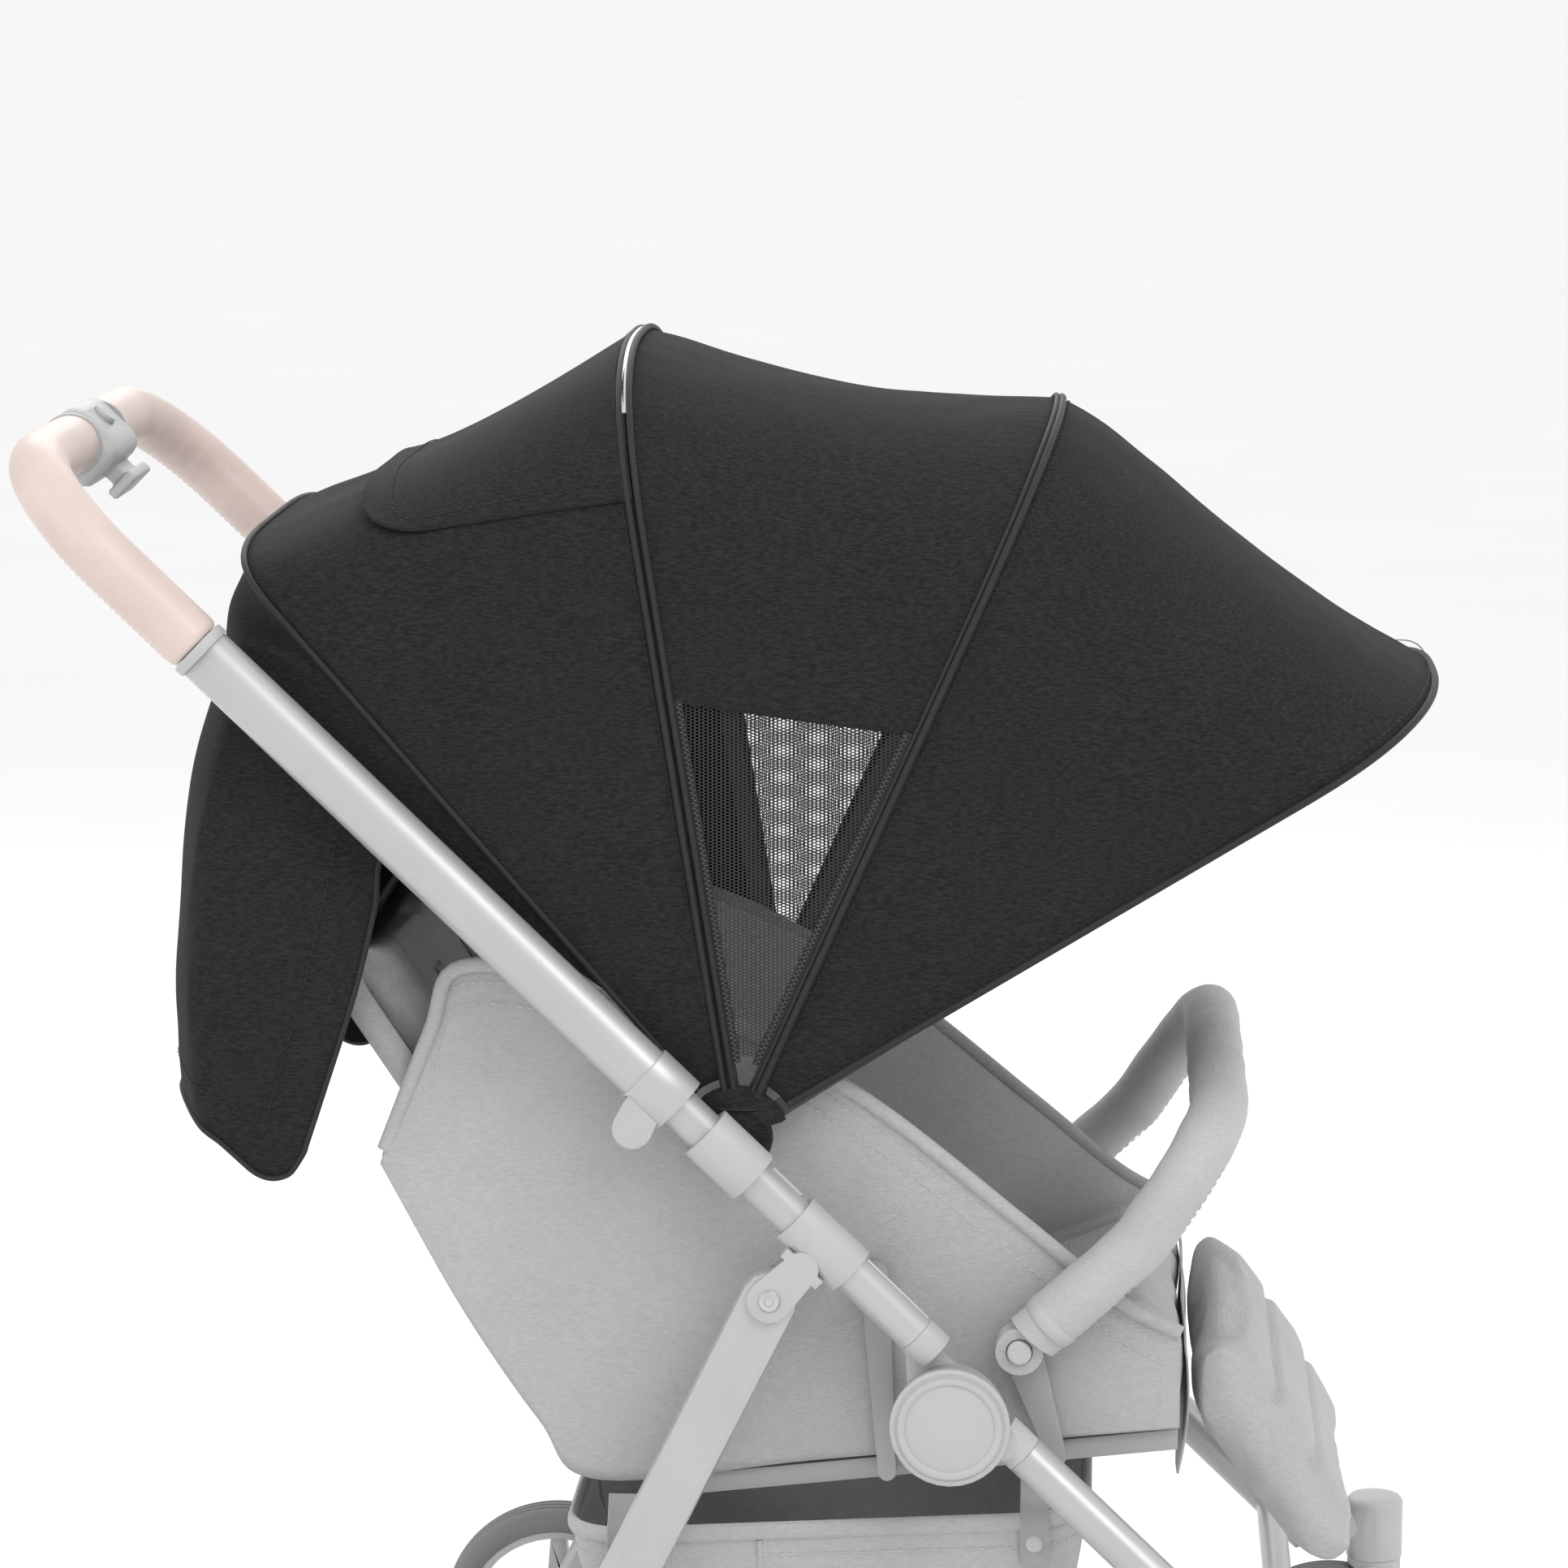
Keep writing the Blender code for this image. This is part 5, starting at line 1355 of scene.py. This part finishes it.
def basket():
    rings = [basket_ring(step / 26) for step in range(27)]
    centre = at(0.06, BASKET_FLOOR)
    for share in (0.90, 0.75, 0.58, 0.40, 0.22, 0.06):
        ring = [centre + (point - centre) * share for point in rings[26]]
        for point in ring:
            point.z = PIVOT.z + BASKET_FLOOR - 0.010 * (1 - share ** 2)
        rings.append(ring)
    count = len(rings[0])
    last = (len(rings) - 1) * count
    faces = grid_faces(len(rings), count, around=True) + [tuple(range(last, last + count))]
    obj = new_object("basket_cloth", [point for ring in rings for point in ring], faces, SEAT)
    for vertex in obj.data.vertices:
        calm = min(1.0, max(0.0, (PIVOT.z - 0.285 - vertex.co.z) / 0.04))
        shift = 0.0050 * noise.noise(vertex.co * 11.0) + 0.0016 * noise.noise(vertex.co * 34.0)
        vertex.co = vertex.co + vertex.normal * shift * calm
    # The inside takes the lighter seat cloth, painted light inside the shaded basket.
    thickened(tidy_normals(obj, 60), PAINTED_LIGHT_SEAT_INSIDE, 0.0016)
    fitted(obj, "main_frame", "basket")
    rim = [point + Vector((0, 0, 0.001)) for point in rings[0]]
    band = [point + (point - centre).normalized() * 0.0012 for point in rings[3]]
    pieces = [obj, sweep("basket_binding", rim, oval(0.0062, 0.0034, 12), SEAT, closed=True),
              stitches("basket_stitches", [band], PALE_THREAD)]
    for number, index in enumerate((18, 62, 98, 142), 1):
        line = resampled([ring[index] for ring in rings[1:27]], 40)
        pieces.append(sweep(f"basket_piping_{number}", line, oval(0.0022), SEAT))
    for piece in pieces:
        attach(piece, "main_frame")
        flatten_basket(piece)


def basket_straps():
    """Four short webbing loops with snaps that hang the basket from the seat pan."""
    snap = millimetres((6.2, 0), (6, 1.2), (4.5, 1.9), (0.2, 2.1))
    for number, (x, sign) in enumerate(((-0.080, -1), (-0.080, 1), (0.200, -1), (0.200, 1)), 1):
        rim = basket_rim(x)
        line = [at(x, rim + rise, sign * y) for rise, y in
                ((-0.030, 0.1905), (0.0, 0.1950), (0.012, 0.186), (0.026, 0.1770))]
        loop = strap(f"basket_strap_{number}", line, 24, flat_section(0.0016, 0.020), (1, 0, 0))
        place = at(x, rim - 0.014, sign * 0.1942)
        for piece in (loop, turned(f"basket_snap_{number}", place, Y_AXIS * sign, snap, "rim", 32, 60)):
            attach(piece, "main_frame")


# ---- wheels and hardware


def tyre(name, node_name, width):
    """A foam tyre with three tread grooves and rounded shoulders."""
    low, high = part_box(node_name)
    centre = (low + high) / 2
    radius, half = centre.z, width / 2
    inner = radius - 0.0182
    shoulder = [(inner, 0.78), (inner + 0.005, 0.97), (radius - 0.0085, 1.0), (radius - 0.0040, 0.93),
                (radius - 0.0012, 0.76)]
    profile = [(reach, -half * share) for reach, share in shoulder]
    for middle in (-0.42 * half, 0.0, 0.42 * half):
        profile += [(radius, middle - 0.0022), (radius - 0.0014, middle - 0.0012),
                    (radius - 0.0014, middle + 0.0012), (radius, middle + 0.0022)]
    profile += [(reach, half * share) for reach, share in reversed(shoulder)]
    body = frame["nodes"][node_name]["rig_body"]
    fitted(turned_ring(name, centre, Y_AXIS, profile, "tyre", 120, 40), body, node_name)
    return centre, body


def wheel(kind, side, sign, width):
    centre, body = tyre(f"{kind}_tread_{side}", f"{kind}_tyre_{side}", width)
    reach = Y_AXIS * sign * (width * 0.42)
    hub = millimetres((16.2, -0.6), (16.2, 1), (15, 2.2), (12.5, 2.6), (11.8, 2), (6, 2.2), (0.2, 2.4))
    collar = millimetres((9.5, -0.8), (15, -0.8), (15.6, 0), (15, 0.8), (9.5, 0.8))
    cap = turned(f"{kind}_wheel_cap_{side}", centre + reach, Y_AXIS * sign, hub, "joint_grey", 56, 50)
    ring = turned_ring(f"{kind}_wheel_collar_{side}", centre - reach, Y_AXIS, collar, "joint_grey", 48)
    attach(cap, body)
    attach(ring, body)


def hardware(side, sign):
    """Caps, rings and bolts on the joints of one side."""
    out = Y_AXIS * sign
    raised = millimetres((29.5, 0), (30, 1.2), (32.2, 1.6), (34.4, 1.2), (34.8, 0))
    lip = millimetres((36.2, 0), (36.6, 1.2), (38.2, 1.5), (39.6, 1), (40, 0))
    for name, reach, profile in (("hub_ring_", 0.2530, raised), ("hub_lip_", 0.2505, lip)):
        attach(turned_ring(name + side, HUB + out * reach, out, profile, "joint_grey", 96, 60), "front_legs")
    for name, place, facing, radius in (
            ("bracket_bolt", BRACKET + out * (TUBE_Y + 0.0138), out, 0.0075),
            ("bracket_bolt_inner", BRACKET + out * (TUBE_Y - 0.0138), -out, 0.0060),
            ("bumper_bolt", BUMPER_PIVOT + out * 0.1856, -out, 0.0060)):
        bolt = [(radius, 0.0), (radius, 0.0010), (radius * 0.86, 0.0022), (radius * 0.45, 0.0026),
                (radius * 0.38, 0.0018), (0.0002, 0.0018)]
        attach(turned(f"{name}_{side}", place, facing, bolt, "steel", 36, 40), "main_frame")
    stem = joint_place("caster_swivel_" + side)
    cap = millimetres((20.8, 0), (20.6, 1.6), (18.5, 4), (10, 5.2), (0.2, 5.5))
    top, foot = [Vector((stem.x, stem.y, z)) for z in (0.2058, 0.1638)]
    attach(turned("caster_cap_" + side, top, Z_AXIS, cap, "joint_grey", 56, 60), "front_legs")
    seal = millimetres((15, -0.3), (19.6, -0.3), (19.6, 0.3), (15, 0.3))
    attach(turned_ring("caster_seal_" + side, foot, Z_AXIS, seal, "board", 48), "front_legs")
    # The second strip is a painted highlight: a pale line along the top of the main tube, in place of the
    # light on its upper edge.
    for name, inset, stations, count, section, material in (
            ("collar_key_", 0.0002, (0.030, 0.056), 10, oval(0.0016), MATERIALS["joint_grey"]),
            ("tube_rail_", 0.00055, (0.118, 0.174), 30, oval(0.0011, 0.0024), PAINTED_TUBE_HIGHLIGHT)):
        line = [on_tube(station, TUBE_RADIUS - inset, sign * TUBE_Y) for station in stations]
        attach(sweep(name + side, resampled(line, count), section, material), "main_frame")


def pedal_ribs():
    """Grip ribs on the brake pedal, which is on the right only."""
    low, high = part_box("brake_pedal")
    axle = joint_place("brake_press")
    up = Vector((0.37, 0, 0.93)).normalized()
    out = Vector((0.93, 0, -0.37)).normalized()
    plate = Vector((axle.x - 0.034, (low.y + high.y) / 2, axle.z + 0.012))
    for number in range(4):
        centre = plate + up * 0.0036 + out * (-0.018 + 0.0075 * number)
        ends = resampled([centre - Y_AXIS * 0.018, centre + Y_AXIS * 0.018], 6)
        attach(sweep(f"pedal_rib_{number + 1}", ends, oval(0.0012), MATERIALS["tyre"]), "brake")


def rigid_parts():
    """Every rigid CAD piece, with its edges rounded by the given width and its material on it."""
    paired = {"hub_upper": 0.0008, "hub_lower": 0.0009, "leg_bracket": 0.0008, "canopy_mount": 0.0008,
              "mid_tube": 0.0, "front_leg": 0.0006, "caster_fork": 0.0011, "rear_leg": 0.0,
              "push_sleeve": 0.0009, "front_rim": 0.0009, "rear_rim": 0.0011, "bumper_button": 0.0005}
    single = {"front_cross_bar": 0.0, "rear_axle": 0.0005, "brake_pedal": 0.0010, "handle_core": 0.0,
              "handle_housing": 0.0006, "release_trigger": 0.0006, "lock_button": 0.0006,
              "canopy_bow_rear": 0.0, "canopy_bow_mid": 0.0, "canopy_bow_front": 0.0, "seat_base": 0.0010,
              "backrest_board": 0.0012, "harness_buckle": 0.0, "bumper_bar": 0.0}
    widths = {f"{name}_{side}": width for name, width in paired.items() for side, _ in SIDES}
    for name, width in (widths | single).items():
        refined(name, width)


# ---- stage


def camera():
    """A long lens from the right-hand side, slightly ahead and above."""
    elevation, azimuth = math.radians(9.96), math.radians(3.46)
    level = math.cos(elevation)
    forward = Vector((-math.sin(azimuth) * level, math.cos(azimuth) * level, -math.sin(elevation)))
    data = bpy.data.cameras.new("camera")
    data.lens = 120.75
    data.sensor_width = 36.0
    data.clip_end = 2000.0
    obj = linked("camera", data)
    obj.location = PIVOT + Vector((0.2370, -3.6090, 0.8360))
    obj.rotation_euler = forward.to_track_quat("-Z", "Y").to_euler()
    bpy.context.scene.camera = obj


def area_light(name, place, height, size, power):
    """A soft round lamp that shines at a height over the origin."""
    data = bpy.data.lights.new(name, "AREA")
    data.shape = "DISK"
    data.size = size
    data.energy = power
    obj = linked(name, data)
    obj.location = place
    obj.rotation_euler = (Vector((0, 0, height)) - Vector(place)).to_track_quat("-Z", "Y").to_euler()


def studio():
    material, tree, shader = shader_tree("floor_paint", (0.92, 0.92, 0.92), 0.9)
    tone = ramp(tree, grain(tree, 1.5, 2.0), 0.3, 0.7, (0.91, 0.91, 0.91), (0.93, 0.93, 0.93))
    tree.links.new(tone, shader.inputs["Base Color"])
    reach = 900.0
    corners = [(-reach, -reach, 0), (reach, -reach, 0), (reach, reach, 0), (-reach, reach, 0)]
    new_object("floor", corners, [(0, 1, 2, 3)], material, smooth=False)
    world = bpy.data.worlds.new("studio")
    world.use_nodes = True
    background = world.node_tree.nodes["Background"]
    background.inputs["Color"].default_value = (1.0, 1.0, 1.0, 1.0)
    background.inputs["Strength"].default_value = 1.0
    bpy.context.scene.world = world
    area_light("key", (1.6, -2.4, 3.4), 0.6, 2.2, 46.0)
    area_light("fill", (-2.6, -1.8, 2.2), 0.6, 2.6, 16.0)
    area_light("rim", (-0.8, 2.8, 2.6), 0.7, 2.0, 22.0)
    bpy.context.scene.view_settings.view_transform = "Standard"


def build():
    camera()
    studio()
    rigid_parts()
    canopy_panels()
    canopy_seams()
    for side, sign in SIDES:
        for make in (pivot_tab, mesh_window, inner_cap, window_zips, seat_side, hardware):
            make(side, sign)
        wheel("rear", side, sign, 0.036)
        wheel("front", side, sign, 0.030)
    for make in (bow_reflector, cover_flap, drop_flap, handle_details, pads, front_valance, back_shell,
                 harness, bumper_cover, basket, basket_straps, pedal_ribs):
        make()


build()
